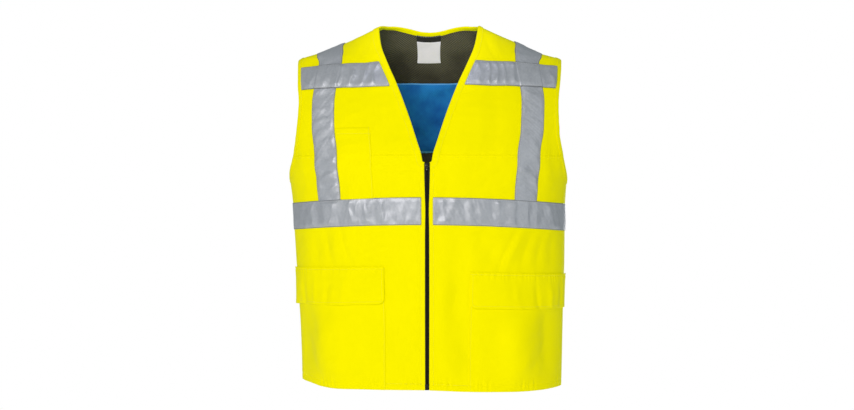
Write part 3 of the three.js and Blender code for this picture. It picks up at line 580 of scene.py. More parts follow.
def clothGrid(face, side, first, last, rowDrop, step, bend=None):
    # rows and columns of places on the body, from one named column to another
    names = [column[0] for column in columnTable[face]]
    start, end = names.index(first), names.index(last)
    angles = columnAngles(face, side, rowDrop)[start : end + 1]
    tops = columnTops(face, side)[start : end + 1]
    places = [0.0]
    for c in range(len(tops) - 1):
        wide = np.max(np.abs(angles[c + 1] - angles[c])) * form["chestHalf"]
        count = max(1, math.ceil(wide / step))
        places += [c + k / count for k in range(1, count + 1)]
    places = np.array(places)
    knots = np.arange(len(tops))
    angle = np.array([np.interp(places, knots, angles[:, j]) for j in range(len(rowDrop))])
    top = np.interp(places, knots, tops)
    if bend is not None:
        angle = bend(angle, rowDrop)
    rows = rowDrop[:, None]
    drop = rows - riseAt(face, rows) * np.cos(angle) ** 2
    drop = drop + slopeLeft(rows) * topDrop(top)[None, :]
    drop = drop + form["hemTilt"] * side * np.sin(angle) * (rows / form["length"]) ** 3
    return angle * side, drop


def backGrid(last, rowDrop, step):
    left = clothGrid("back", 1, "middle", last, rowDrop, step)
    right = clothGrid("back", -1, "middle", last, rowDrop, step)
    return tuple(np.concatenate([r[:, :0:-1], l], axis=1) for l, r in zip(left, right))


def settle(face, point):
    # the place on the body nearest to a point just off it
    point = point.copy()
    height = point[..., 2].copy()
    for _ in range(3):
        point[..., 2] = height - settled(face, point[..., 0], -point[..., 2])
    across, out = ovalShares(face, point)
    return onBody(face, np.arctan2(across, np.maximum(0, out)), -point[..., 2])


def lengthsAlong(points, axis):
    steps = np.linalg.norm(np.diff(points, axis=axis), axis=-1)
    return np.concatenate([np.zeros_like(np.take(steps, [0], axis=axis)), np.cumsum(steps, axis=axis)], axis=axis)


def addObject(name, data):
    thing = bpy.data.objects.new(name, data)
    bpy.context.scene.collection.objects.link(thing)
    return thing


def meshFrom(name, points, faces, uv, material, sharp=math.radians(60)):
    data = bpy.data.meshes.new(name)
    faces = np.asarray(faces)
    data.vertices.add(len(points))
    data.vertices.foreach_set("co", np.asarray(points, np.float32).ravel())
    data.loops.add(faces.size)
    data.loops.foreach_set("vertex_index", faces.ravel().astype(np.int32))
    data.polygons.add(len(faces))
    data.polygons.foreach_set("loop_start", np.arange(0, faces.size, faces.shape[1], dtype=np.int32))
    data.update(calc_edges=True)
    if uv is not None:
        chart = data.uv_layers.new(name="cloth")
        chart.data.foreach_set("uv", np.asarray(uv, np.float32)[faces.ravel()].ravel())
    data.polygons.foreach_set("use_smooth", np.ones(len(faces), bool))
    data.set_sharp_from_angle(angle=sharp)
    data.materials.append(material)
    return addObject(name, data)


def turnedOut(points, faces):
    # a closed body's faces, turned so that they point outwards
    a, b, c = (points[faces[:, k]] for k in range(3))
    volume = (a * np.cross(b, c)).sum()
    if faces.shape[1] == 4:
        d = points[faces[:, 3]]
        volume += (a * np.cross(c, d)).sum()
    return faces if volume > 0 else faces[:, ::-1]


# The size each cloth is cut to: width, length and area of its own surface, laid flat
flatSizes = {}


def flatten(name, point):
    across, down = np.diff(point, axis=1), np.diff(point, axis=0)
    cells = np.linalg.norm(np.cross(across[:-1], down[:, :-1]), axis=-1)
    wide = lengthsAlong(point, 1)[:, -1].max()
    long = lengthsAlong(point, 0)[-1].max()
    flatSizes[name] = (wide, long, cells.sum())


def clothSheet(name, surface, inner, outer, material, alongRows=False):
    # a closed cloth between two distances from a surface, with a rounded edge all round
    point, normal = surface
    flatten(name, point)
    rows, columns = point.shape[:2]
    inner = np.broadcast_to(inner, (rows, columns))[..., None]
    outer = np.broadcast_to(outer, (rows, columns))[..., None]
    top, bottom = point + normal * outer, point + normal * inner
    ids = np.arange(rows * columns).reshape(rows, columns)
    cells = np.stack([ids[:-1, :-1], ids[1:, :-1], ids[1:, 1:], ids[:-1, 1:]], -1).reshape(-1, 4)
    around = np.concatenate([ids[0, :-1], ids[:-1, -1], ids[-1, :0:-1], ids[:0:-1, 0]])
    inside = np.concatenate([ids[1, :-1], ids[:-1, -2], ids[-2, :0:-1], ids[:0:-1, 1]])
    flatTop, flatBottom = top.reshape(-1, 3), bottom.reshape(-1, 3)
    middle = (flatTop[around] + flatBottom[around]) / 2
    away = flatTop[around] - flatTop[inside]
    away /= np.maximum(np.linalg.norm(away, axis=1, keepdims=True), 1e-9)
    wall = np.linalg.norm(flatTop[around] - flatBottom[around], axis=1, keepdims=True)
    middle = middle + away * np.minimum(wall * 0.45, 0.6 * mm)
    size = rows * columns
    rim = 2 * size + np.arange(len(around))
    nextOne = np.roll(np.arange(len(around)), -1)
    upper = np.stack([around, around[nextOne], rim[nextOne], rim], -1)
    lower = np.stack([rim, rim[nextOne], around[nextOne] + size, around + size], -1)
    points = np.concatenate([flatTop, flatBottom, middle])
    faces = np.concatenate([cells, cells[:, ::-1] + size, upper, lower])
    u = point[:, :1, 0] + lengthsAlong(point, 1) * np.sign(point[:, -1:, 0] - point[:, :1, 0])
    v = -lengthsAlong(point, 0)
    if alongRows:
        u, v = lengthsAlong(point, 1), lengthsAlong(point, 0)
        v = v * (tapeLook["width"] / v[-1:])
    chart = np.stack([u.ravel(), v.ravel()], -1)
    chart = np.concatenate([chart, chart, chart[around]])
    return meshFrom(name, points, turnedOut(points, faces), chart, material)


def sweep(name, sections, closed, material):
    # a body swept through rings of points, capped at its ends unless it closes on itself
    flatten(name, sections[:, : sections.shape[1] // 2])
    count, size = sections.shape[:2]
    points = sections.reshape(-1, 3)
    ids = np.arange(count * size).reshape(count, size)
    if closed:
        ids = np.concatenate([ids, ids[:1]])
    a = ids[:-1]
    b = ids[1:]
    faces = np.stack([a, np.roll(a, -1, 1), np.roll(b, -1, 1), b], -1).reshape(-1, 4)
    along = np.linalg.norm(np.diff(sections[:, 0], axis=0), axis=1)
    along = np.concatenate([[0], np.cumsum(along)])
    around = np.linalg.norm(np.diff(sections[0], axis=0), axis=1)
    around = np.concatenate([[0], np.cumsum(around)])
    chart = np.stack(np.meshgrid(along, around, indexing="ij"), -1).reshape(-1, 2)
    if not closed:
        half = size // 2
        for row in (ids[0], ids[-1]):
            low, high = row[:half], row[half:][::-1]
            cap = np.stack([low[:-1], low[1:], high[1:], high[:-1]], -1)
            faces = np.concatenate([faces, cap if row[0] == 0 else cap[:, ::-1]])
    return meshFrom(name, points, turnedOut(points, faces), chart, material)


# Shader maths: a socket with Python's operators, and one method that makes any node
class Wire:
    def __init__(self, maker, socket):
        self.maker = maker
        self.socket = socket

    def maths(self, kind, *others):
        values = dict(enumerate((self, *others)))
        return self.maker.node("ShaderNodeMath", {"operation": kind}, values)[0]

    def __add__(self, other):
        return self.maths("ADD", other)

    def __sub__(self, other):
        return self.maths("SUBTRACT", other)

    def __rsub__(self, other):
        return (self * -1).maths("ADD", other)

    def __mul__(self, other):
        return self.maths("MULTIPLY", other)

    def __truediv__(self, other):
        return self.maths("DIVIDE", other)

    def __pow__(self, other):
        return self.maths("POWER", other)

    def __abs__(self):
        return self.maths("ABSOLUTE")

    __radd__ = __add__
    __rmul__ = __mul__

    def sine(self):
        return self.maths("SINE")

    def above(self, other):
        return self.maths("GREATER_THAN", other)

    def below(self, other):
        return self.maths("LESS_THAN", other)

    def clamped(self, low=0, high=1):
        return self.maths("MAXIMUM", low).maths("MINIMUM", high)


class Made:
    def __init__(self, maker, node):
        self.maker = maker
        self.node = node

    def __getitem__(self, key):
        return Wire(self.maker, self.node.outputs[key])


class NodeMaker:
    def __init__(self, tree):
        self.tree = tree

    def node(self, kind, settings=None, values=None):
        node = self.tree.nodes.new(kind)
        for key, value in (settings or {}).items():
            if key == "stops":
                stops = node.color_ramp.elements
                while len(stops) < len(value):
                    stops.new(0.5)
                for stop, (place, colour) in zip(stops, value):
                    stop.position = place
                    stop.color = (*colour, 1)
            else:
                setattr(node, key, value)
        for key, value in (values or {}).items():
            if isinstance(value, Wire):
                self.tree.links.new(value.socket, node.inputs[key])
            else:
                node.inputs[key].default_value = value
        return Made(self, node)


class Finish(NodeMaker):
    # a material that is described by what its surface is like
    def __init__(self, name):
        self.material = bpy.data.materials.new(name)
        self.material.use_nodes = True
        super().__init__(self.material.node_tree)
        self.tree.nodes.clear()
        place = self.node("ShaderNodeTexCoord")
        self.object = place["Object"]
        self.chart = place["UV"]
        split = self.node("ShaderNodeSeparateXYZ", None, {0: self.chart})
        self.u = split[0]
        self.v = split[1]

    def noise(self, scale, detail=2, rough=0.5, vector=None):
        settings = {"noise_dimensions": "3D"}
        values = {"Vector": vector or self.object, "Scale": scale, "Detail": detail, "Roughness": rough}
        return self.node("ShaderNodeTexNoise", settings, values)["Fac"]

    def mix(self, factor, a, b):
        a, b = (value if isinstance(value, Wire) else (*value, 1) for value in (a, b))
        return self.node("ShaderNodeMix", {"data_type": "RGBA"}, {0: factor, 6: a, 7: b})[2]

    def bump(self, height, distance, strength=1, normal=None):
        values = {"Height": height, "Distance": distance, "Strength": strength}
        if normal is not None:
            values["Normal"] = normal
        return self.node("ShaderNodeBump", None, values)["Normal"]

    def finish(self, colour, roughness, normal=None, **fixed):
        values = {"Base Color": colour if isinstance(colour, Wire) else (*colour, 1), "Roughness": roughness}
        if normal is not None:
            values["Normal"] = normal
        values.update({key.replace("_", " "): value for key, value in fixed.items()})
        shader = self.node("ShaderNodeBsdfPrincipled", None, values)["BSDF"]
        self.node("ShaderNodeOutputMaterial", None, {"Surface": shader})
        return self.material


def linear(r, g, b):
    # a colour as the eye reads it from 0 to 255, made linear
    return tuple((c / 255 / 12.92) if c / 255 <= 0.04045 else ((c / 255 + 0.055) / 1.055) ** 2.4 for c in (r, g, b))


# glow is a constant emission: partly the cloth's fluorescence, partly painted light that lifts the shaded parts and
# tints them green
hiVis = {
    "colour": linear(253, 233, 0),
    "deep": linear(241, 224, 0),
    "gleam": (1.0, 0.93, 0.0, 1),
    "thread": 0.9 * mm,
    "relief": 0.1 * mm,
    "rough": 0.62,
    "glow": 0.09,
    "glowColour": linear(150, 255, 0),
}


def hiVisFinish(name, threadShare=1.0, ribbed=False):
    f = Finish(name)
    pitch = 2 * math.pi / (hiVis["thread"] * threadShare)
    wale = abs((f.u * pitch / 2).sine())
    course = abs((f.v * pitch / 2 * (0.5 if ribbed else 1)).sine())
    knit = wale * course
    cloud = f.noise(14, 3)
    slub = f.noise(420, 2)
    tone = (cloud * 0.5 + slub * 0.25 + (1 - knit) * 0.25).clamped()
    colour = f.mix(tone, hiVis["colour"], hiVis["deep"])
    height = knit + slub * 0.5
    normal = f.bump(height, hiVis["relief"], 0.6)
    rough = f.noise(90, 2) * 0.12 + (hiVis["rough"] - 0.06)
    # the constant emission is painted light that lifts and greens the shade, partly standing for fluorescence
    return f.finish(
        colour,
        rough,
        normal,
        Emission_Color=(*hiVis["glowColour"], 1),
        Emission_Strength=hiVis["glow"],
        Specular_Tint=hiVis["gleam"],
        Specular_IOR_Level=0.1,
    )


tapeLook = {
    "colour": linear(178, 182, 190),
    "light": linear(200, 203, 209),
    "dark": linear(158, 162, 171),
    "edge": linear(112, 115, 120),
    "width": 50 * mm,
    "border": 3.2 * mm,
    "fold": 1.1 * mm,
    "bead": 0.7 * mm,
}


def tapeFinish(name):
    f = Finish(name)
    scuff = f.noise(38, 4, 0.6)
    fine = f.noise(260, 3, 0.65)
    bead = abs(((f.u + f.v) * (math.pi / tapeLook["bead"])).sine())
    bead = bead * abs(((f.u - f.v) * (math.pi / tapeLook["bead"])).sine())
    tone = (scuff * 1.5 - 0.25).clamped()
    colour = f.mix(tone, tapeLook["dark"], tapeLook["colour"])
    colour = f.mix((fine * 1.6 - 0.6).clamped() * 0.5, colour, tapeLook["light"])
    fromEdge = abs(f.v - tapeLook["width"] / 2)
    border = fromEdge.above(tapeLook["width"] / 2 - tapeLook["border"])
    colour = f.mix(border * 0.5, colour, tapeLook["light"])
    # a dark line along the very edge of the tape: partly its edge stitching, partly painted shadow
    fold = fromEdge.above(tapeLook["width"] / 2 - tapeLook["fold"])
    colour = f.mix(fold * 0.8, colour, tapeLook["edge"])
    crinkle = f.bump(scuff, 1.0 * mm, 0.35)
    normal = f.bump(fine * 0.8 + bead * 0.2, 0.2 * mm, 0.5, crinkle)
    rough = (fine * 0.14 + 0.37).clamped()
    return f.finish(colour, rough, normal, Metallic=0.38, Specular_IOR_Level=0.45)


meshLook = {
    "pitch": 4.2 * mm,
    "thread": linear(118, 114, 90),
    "dull": linear(50, 44, 22),
    "hole": linear(12, 10, 4),
    "deepFrom": 40 * mm,
    "deepOver": 50 * mm,
}


def meshFinish(name):
    f = Finish(name)
    turn = math.pi / meshLook["pitch"]
    a = ((f.u + f.v) * turn).sine()
    b = ((f.u - f.v) * turn).sine()
    hole = (abs(a) * abs(b) * 3.2 - 0.9).clamped()
    cloud = (f.noise(20, 2) * 2 - 0.5).clamped()
    # the mesh darkens towards the bottom: painted shade where the fronts keep the light off the lining, on top of the
    # random dull clouding
    down = ((f.v * -1 - meshLook["deepFrom"]) * (1 / meshLook["deepOver"])).clamped()
    thread = f.mix((cloud * 0.6 + down * 0.7).clamped(), meshLook["thread"], meshLook["dull"])
    colour = f.mix(hole, thread, meshLook["hole"])
    normal = f.bump(1 - hole, 0.5 * mm, 0.8)
    return f.finish(colour, 0.7, normal, Sheen_Weight=0.1)


coolLook = {
    "pale": linear(34, 134, 214),
    "deep": linear(2, 76, 168),
    "dark": linear(4, 48, 110),
    "edge": linear(96, 166, 226),
    "pitch": 3.4 * mm,
}


def coolingFinish(name, top, height):
    f = Finish(name)
    turn = math.pi / coolLook["pitch"]
    knit = abs(((f.u + f.v) * turn).sine()) * abs(((f.u - f.v) * turn).sine())
    cloud = f.noise(26, 3, 0.6)
    # the blue darkens towards the bottom of the panel: painted shade, mixed with random clouding
    down = (f.v * (-1 / height)).clamped()
    tone = ((cloud * 3 - 1.1) * 0.6 + down * 0.4).clamped()
    colour = f.mix(tone, coolLook["pale"], coolLook["deep"])
    colour = f.mix((knit * knit * 0.75).clamped(), colour, coolLook["dark"])
    middle = abs(f.v + height / 2)
    edge = middle.above(height / 2 - 1.9 * mm)
    colour = f.mix(edge * 0.8, colour, coolLook["edge"])
    normal = f.bump(knit * 0.6 + f.noise(300) * 0.4, 0.3 * mm, 0.8)
    return f.finish(colour, 0.75, normal, Specular_IOR_Level=0.15)


def wovenFinish(name, colour, shade, pitch, rough, sheen=0.1, rib=False):
    f = Finish(name)
    turn = math.pi / pitch
    warp = abs((f.u * turn).sine())
    weft = abs((f.v * turn).sine())
    weave = warp if rib else warp * weft
    slub = f.noise(180, 3)
    tone = (weave * 0.6 + slub * 0.5 - 0.1).clamped()
    normal = f.bump(weave + slub * 0.4, 0.12 * mm, 0.7)
    return f.finish(f.mix(tone, shade, colour), slub * 0.15 + (rough - 0.07), normal, Sheen_Weight=sheen)


def nylonFinish(name):
    f = Finish(name)
    wear = (f.noise(240, 3, 0.6) * 2 - 0.9).clamped()
    colour = f.mix(wear, linear(16, 15, 10), linear(40, 38, 31))
    normal = f.bump(f.noise(900, 2), 0.05 * mm, 0.5)
    return f.finish(colour, wear * 0.2 + 0.45, normal, Specular_IOR_Level=0.2)


def metalFinish(name):
    f = Finish(name)
    # rare small spots of bright bare metal where the paint is worn, which also serve as painted glints
    wear = (f.noise(520, 2, 0.6) * 12 - 7.6).clamped()
    colour = f.mix(wear, linear(7, 7, 6), linear(210, 206, 192))
    normal = f.bump(f.noise(700, 3), 0.06 * mm, 0.5)
    return f.finish(colour, wear * -0.1 + 0.4, normal, Metallic=wear * 0.6, Specular_IOR_Level=0.2)


def threadFinish(name, colour, shade):
    f = Finish(name)
    twist = f.noise(1500, 2)
    normal = f.bump(twist, 0.08 * mm, 0.6)
    return f.finish(f.mix(twist, shade, colour), 0.55, normal, Sheen_Weight=0.2)


shellCloth = hiVisFinish("hiVisCloth")
bindingCloth = hiVisFinish("hiVisBinding", 0.8, True)
reflective = tapeFinish("reflectiveTape")
liningMesh = meshFinish("oliveMesh")
blackTab = wovenFinish("blackTab", linear(34, 34, 34), linear(16, 16, 16), 0.6 * mm, 0.7)
labelSatin = wovenFinish("labelSatin", linear(252, 249, 255), linear(236, 232, 245), 0.5 * mm, 0.45, 0.2)
zipCloth = wovenFinish("zipTape", linear(24, 22, 13), linear(10, 9, 4), 0.9 * mm, 0.85, 0.05, True)
coilNylon = nylonFinish("coilNylon")
zipMetal = metalFinish("paintedMetal")
yellowThread = threadFinish("yellowThread", linear(250, 244, 60), linear(214, 206, 0))
greyThread = threadFinish("greyThread", linear(128, 131, 140), linear(88, 90, 100))
whiteThread = threadFinish("whiteThread", linear(225, 225, 228), linear(180, 180, 184))
print("finishes made")

stitchRuns = {"yellow": [], "grey": [], "white": []}


def stitchLine(kind, points):
    stitchRuns[kind].append(np.asarray(points))


def dress(piece, slot, *nodes, body="vest"):
    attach(piece, body)
    if nodes:
        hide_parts(*nodes)
    return piece


shellSize = {
    "step": 2.6 * mm,
    "rowStep": 3.2 * mm,
    "backStep": 4.1 * mm,
    "backRowStep": 6.2 * mm,
    "grooveDepth": 0.5 * mm,
    "grooveWidth": 1.3 * mm,
    "puckerDepth": 0.35 * mm,
    "puckerWidth": 9 * mm,
}


def groove(distance, depth=None, width=None):
    depth = depth or shellSize["grooveDepth"]
    width = width or shellSize["grooveWidth"]
    return -depth * np.exp(-((distance / width) ** 2))


seamPucker = ripples(31, 9 * mm, 0, 0.25)


def pucker(along, distance, depth=None):
    depth = depth or shellSize["puckerDepth"]
    return depth * seamPucker(along, distance * 0.3) * np.exp(-((distance / shellSize["puckerWidth"]) ** 2))


hemGather = ripples(33, 90 * mm, 0, 0.2)


def hemPucker(across, distance):
    # the hem is gathered in some places and flat in others
    gather = np.clip(hemGather(across, 0 * across), -0.4, 1.6) + 0.5
    return pucker(across, distance, 0.28 * mm) * gather


# Where the front edges part from the straight line: share down the zip, change of the half gap
zipGap = curveThrough(
    [265 * mm, 275 * mm, 300 * mm, 340 * mm, 362 * mm, 385 * mm, 410 * mm, 520 * mm, 681 * mm],
    [1.2 * mm, 1.3 * mm, 0.9 * mm, 0, -0.6 * mm, -0.3 * mm, 0, 0.1 * mm, -0.3 * mm],
)


def frontBend(angle, rowDrop):
    # the front edge follows the zip's gap, and the cloth beside it gives way
    half = halfAt(rowDrop)[:, None]
    x = half * np.sin(angle)
    edge = x[:, :1]
    shift = np.where(rowDrop > form["neckDepth"], zipGap(rowDrop), zipGap(form["neckDepth"]) * smooth((rowDrop - 240 * mm) / (25 * mm)))
    x = x + shift[:, None] * np.exp(-(((x - edge) / (12 * mm)) ** 2))
    moved = np.arcsin(np.clip(x / half, 0, 1))
    return np.where(angle > 1.2, angle, moved)


def addShell():
    upperRows = spaced(0, level["join"], shellSize["rowStep"], [level["join"] - 2 * mm])
    lowerRows = spaced(level["join"] + 0.3 * mm, form["length"], shellSize["rowStep"],
                       [level["join"] + 5 * mm, level["hem"]])
    pieces = {}
    for name, side in sides.items():
        angle, drop = clothGrid("front", side, "edge", "armEdge", upperRows, shellSize["step"], frontBend)
        point, normal = onBody("front", angle, drop)
        fromJoin = level["join"] - upperRows[:, None] + 0 * angle
        across = lengthsAlong(point, 1)
        lift = pucker(across, fromJoin, 0.12 * mm) + groove(fromJoin, 0.5 * mm)
        upper = clothSheet(f"upperFront_{name}", (point, normal), layer["shell"][0] + lift, layer["shell"][1] + lift, shellCloth)
        dress(upper, "shell", f"front_upper_{name}")
        angle, drop = clothGrid("front", side, "edge", "armEdge", lowerRows, shellSize["step"], frontBend)
        point, normal = onBody("front", angle, drop)
        rows = lowerRows[:, None] + 0 * angle
        across = lengthsAlong(point, 1)
        lift = pucker(across, rows - level["join"], 0.12 * mm) + groove(rows - level["join"] - 4 * mm, 0.3 * mm)
        lift = lift + 0.45 * mm * np.exp(-(((rows - level["join"] - 1.8 * mm) / (1.6 * mm)) ** 2))
        hemLine = rows - level["hem"]
        lift = lift + groove(hemLine, 0.6 * mm) + hemPucker(across, hemLine)
        lift = lift + 0.5 * mm * smooth(hemLine / (3 * mm))
        lift = lift + groove(across - form["facing"], 0.6 * mm)
        lift = lift + pucker(rows, across - form["facing"], 0.25 * mm) * smooth(across / (4 * mm))
        lower = clothSheet(f"lowerFront_{name}", (point, normal), layer["shell"][0] + lift, layer["shell"][1] + lift, shellCloth)
        dress(lower, "shell", f"front_lower_{name}")
        pieces[name] = (upper, lower)
    rows = spaced(0, form["length"], shellSize["backRowStep"], [level["hem"]])
    angle, drop = backGrid("armEdge", rows, shellSize["backStep"])
    point, normal = onBody("back", angle, drop)
    across = lengthsAlong(point, 1)
    hemLine = rows[:, None] - level["hem"] + 0 * angle
    lift = groove(hemLine, 0.6 * mm) + hemPucker(across, hemLine)
    back = clothSheet("backPanel", (point, normal), layer["shell"][0] + lift, layer["shell"][1] + lift, shellCloth)
    dress(back, "shell", "back_panel")
    return pieces, back


panels, backPanel = addShell()
print("shell made")


# Bindings: a strip folded over the edge of shell and lining
bindingSize = {
    "wall": 0.8 * mm,
    "clear": 0.25 * mm,
    "step": 2.5 * mm,
    "napeWidth": 6.3 * mm,
    "wander": 0.3 * mm,
}


def edgeRun(face, side, name, rowDrop, bend=None):
    # the places down one column, and the way from them into the cloth
    names = [c[0] for c in columnTable[face]]
    index = names.index(name)
    other = names[index - 1] if index else names[1]
    pair = (name, other) if index == 0 else (other, name)
    angle, drop = clothGrid(face, side, pair[0], pair[1], rowDrop, 1.0, bend)
    point, normal = onBody(face, angle, drop)
    at, beside = (0, -1) if index == 0 else (-1, 0)
    return point[:, at], normal[:, at], point[:, beside]


def bindingSections(face, point, normal, into, width, wander):
    wall, clear = bindingSize["wall"], bindingSize["clear"]
    slot = layer["slot"]
    legs = []
    for share in (1, 0.66, 0.33, 0.06):
        reach = (width + wander) * share
        legs.append(settle(face, point + into * reach[:, None]))
    out = clear + wall
    radius = (slot + 2 * clear + wall) / 2
    centre = -slot / 2

    def skin(offset, turnRadius):
        rows = [p + n * offset for p, n in legs]
        for k in range(1, 8):
            turn = math.pi / 2 - math.pi * k / 8
            rows.append(point + normal * (centre + turnRadius * math.sin(turn)) - into * (turnRadius * math.cos(turn)))
        inside = -slot - offset
        rows += [p + n * inside for p, n in legs[::-1]]
        return rows

    outerSkin = skin(out, radius + wall / 2)
    innerSkin = skin(clear, radius - wall / 2)
    return np.stack(outerSkin + innerSkin[::-1], 1)


def intoCloth(point, normal, beside, closed):
    if closed:
        along = np.roll(point, -1, 0) - np.roll(point, 1, 0)
    else:
        along = np.gradient(point, axis=0)
    along /= np.linalg.norm(along, axis=1, keepdims=True)
    into = np.cross(along, normal)
    into /= np.linalg.norm(into, axis=1, keepdims=True)
    wrong = np.sum(into * (beside - point), 1) < 0
    into[wrong] *= -1
    return into


def addBindings():
    vRows = spaced(0, form["neckDepth"], bindingSize["step"])
    runs = {}
    for name, side in sides.items():
        point, normal, beside = edgeRun("front", side, "edge", vRows, frontBend)
        beside = beside.copy()
        beside[:, 2] -= form["armBinding"]
        runs[name] = (point, normal, beside)
    angle, drop = backGrid("neckPoint", np.array([0, 2.345 * mm]), 2.5 * mm)
    nape, napeNormal = onBody("back", angle, drop)
    faces = [("front", *[a[::-1] for a in runs["right"]])]
    faces.append(("back", nape[0, 1:-1], napeNormal[0, 1:-1], nape[1, 1:-1]))
    faces.append(("front", *runs["left"]))
    point = np.concatenate([f[1] for f in faces])
    normal = np.concatenate([f[2] for f in faces])
    beside = np.concatenate([f[3] for f in faces])
    into = intoCloth(point, normal, beside, False)
    into = softened(into, 3)
    wander = bindingSize["wander"] * ripples(41, 40 * mm)(lengthsAlong(point, 0), 0 * point[:, 0])
    rings = []
    start = 0
    along = lengthsAlong(point, 0)
    ends = (len(runs["right"][0]), len(point) - len(runs["left"][0]))
    back = smooth((along - along[ends[0]] + 30 * mm) / (60 * mm)) * smooth((along[ends[1]] + 30 * mm - along) / (60 * mm))
    width = lerp(form["neckBinding"], bindingSize["napeWidth"], back)
    for face, run, _, _ in faces:
        part = slice(start, start + len(run))
        rings.append(bindingSections(face, point[part], normal[part], into[part], width[part], wander[part]))
        start += len(run)
    rings = np.concatenate(rings)
    neck = sweep("neckBinding", rings, False, bindingCloth)
    dress(neck, "binding", "neck_binding")
    seam = lerp(rings[:, 0], rings[:, 1], 0.45)
    stitchLine("yellow", seam)
    armRows = spaced(0, form["armholeDepth"], bindingSize["step"])
    for name, side in sides.items():
        loops = []
        for face, order in (("front", 1), ("back", -1)):
            point, normal, beside = edgeRun(face, side, "armEdge", armRows)
            beside = beside.copy()
            beside[:, 2] -= form["armBinding"]
            run = [point, normal, beside]
            run = [a[::order] for a in run] if order > 0 else [a[::-1][1:-1] for a in run]
            loops.append((face, *run))
        point = np.concatenate([f[1] for f in loops])
        normal = np.concatenate([f[2] for f in loops])
        beside = np.concatenate([f[3] for f in loops])
        into = softened(intoCloth(point, normal, beside, True), 2, True)
        wander = bindingSize["wander"] * ripples(43 + side, 40 * mm)(lengthsAlong(point, 0), 0 * point[:, 0])
        rings = []
        start = 0
        for face, run, _, _ in loops:
            end = start + len(run)
            rings.append(bindingSections(face, point[start:end], normal[start:end], into[start:end], form["armBinding"], wander[start:end]))
            start = end
        rings = np.concatenate(rings)
        ring = sweep(f"armholeBinding_{name}", rings, True, bindingCloth)
        dress(ring, "binding", f"armhole_binding_{name}")
        seam = lerp(rings[:, 0], rings[:, 1], 0.6)
        stitchLine("yellow", np.concatenate([seam, seam[:1]]))


def softened(vectors, rounds, closed=False):
    for _ in range(rounds):
        if closed:
            vectors = vectors * 2 + np.roll(vectors, 1, 0) + np.roll(vectors, -1, 0)
        else:
            padded = np.concatenate([vectors[:1], vectors, vectors[-1:]])
            vectors = padded[:-2] + 2 * padded[1:-1] + padded[2:]
        vectors = vectors / np.linalg.norm(vectors, axis=1, keepdims=True)
    return vectors


addBindings()
print("bindings made")

# Reflective tapes: sewn along both edges, and creased in between
tapeSize = {
    "step": 1.25 * mm,
    "inset": 2.4 * mm,
    "broad": (30 * mm, 0.3 * mm),
    "fine": (9 * mm, 0.07 * mm),
    "rest": 0.35 * mm,
    "crossing": 1.2 * mm,
    "chestDrop": {"left": (1.4 * mm, -1.0 * mm), "right": (3.8 * mm, 1.2 * mm)},
}
# Creases across the level tapes, all in mm: distance of the top end from the middle, how far the
# bottom end lies from that, height, width on the wearer's right and on the left
# Creases across the braces: drop of the inner end, drop from there to the outer end, height and
# the widths above and below
tapeCreases = {
    "waist_right": [
        (-234, 4, 1.8, 9, 6),
        (-217, 2, 2.6, 7, 5),
        (-178, -4, 3.4, 20, 7),
        (-144, 3, 2.6, 9, 4),
        (-128, -6, 1.3, 6, 4),
        (-117, 5, 1.0, 5, 4),
        (-104, -5, 0.9, 5, 5),
        (-87, 6, 1.2, 7, 3),
        (-62, -4, 0.6, 14, 9),
        (-38, 10, 0.5, 9, 9),
    ],
    "waist_left": [
        (29, 3, 1.2, 7, 6),
        (51, -4, 1.1, 9, 7),
        (74, 8, 0.6, 6, 6),
        (92, 10, 0.9, 5, 4),
        (131, 2, 2.2, 13, 4),
        (161, -3, 3.0, 14, 5),
        (184, 3, 2.0, 7, 4),
        (202, -2, 3.0, 9, 7),
        (224, 14, 2.6, 7, 9),
    ],
    "chest_right": [
        (-208, -17, 1.4, 7, 5),
        (-188, -10, 0.8, 6, 6),
        (-158, -13, 2.4, 9, 4),
        (-137, -11, 2.4, 7, 4),
        (-111, -14, 2.6, 8, 5),
        (-95, -10, 1.9, 6, 5),
    ],
    "chest_left": [
        (92, 7, 1.2, 8, 4),
        (112, 6, 2.0, 7, 4),
        (126, 7, 2.2, 5, 4),
        (139, 9, 2.0, 4, 4),
        (157, 8, 2.6, 8, 5),
        (184, 4, 1.0, 10, 8),
        (208, 8, 1.0, 8, 8),
        (227, 6, 2.2, 7, 6),
    ],
    "brace_right": [
        (172, 26, 0.8, 11, 8),
        (198, 26, 0.8, 11, 7),
        (226, 22, 0.9, 10, 6),
        (252, 2, 1.0, 6, 4),
        (261, -4, 1.8, 5, 4),
        (279, 15, 1.5, 6, 5),
        (293, -13, 1.4, 6, 4),
        (305, 12, 1.4, 6, 5),
        (318, -11, 1.4, 6, 4),
        (328, 7, 1.2, 5, 4),
        (30, -14, 0.9, 9, 7),
    ],
    "brace_left": [
        (130, 30, 0.6, 12, 10),
        (170, -26, 0.6, 12, 9),
        (215, 24, 0.7, 12, 8),
        (258, -10, 0.9, 8, 5),
        (274, 19, 1.4, 6, 5),
        (287, 15, 1.5, 6, 4),
        (301, -10, 1.1, 6, 5),
        (318, 12, 0.9, 7, 5),
        (34, 12, 0.9, 9, 7),
    ],
    "plain": [],
}


def tapeLift(kind, seed, place, across, along):
    # height of the creases: place and across run from 0 at one end to the other of each crease
    share = np.clip(across / tapeLook["width"], 0, 1)
    body = smooth(share / 0.16) * smooth((1 - share) / 0.16)
    wave, height = tapeSize["broad"]
    lift = height * (ripples(seed, wave, 0, 0.5, 14)(along, across) + 1)
    wave, height = tapeSize["fine"]
    lift = lift + height * ripples(seed + 1, wave, 0, 0.7, 16)(along, across)
    bend = ripples(seed + 2, 55 * mm, math.pi / 2, 0.6)(along, across) * 1.3 * mm
    for start, lean, high, before, after in tapeCreases[kind]:
        over = place - (start + lean * share) * mm + bend
        wide = np.where(over < 0, before, after) * mm
        fade = 0.75 + 0.25 * np.cos(9 * share + start)
        high = high * (1.35 if kind.startswith("chest") else 1.15)
        lift = lift + high * mm * np.exp(-(np.abs(over / wide) ** 1.4)) * fade
    return tapeSize["rest"] + body * np.maximum(lift, -0.2 * mm)


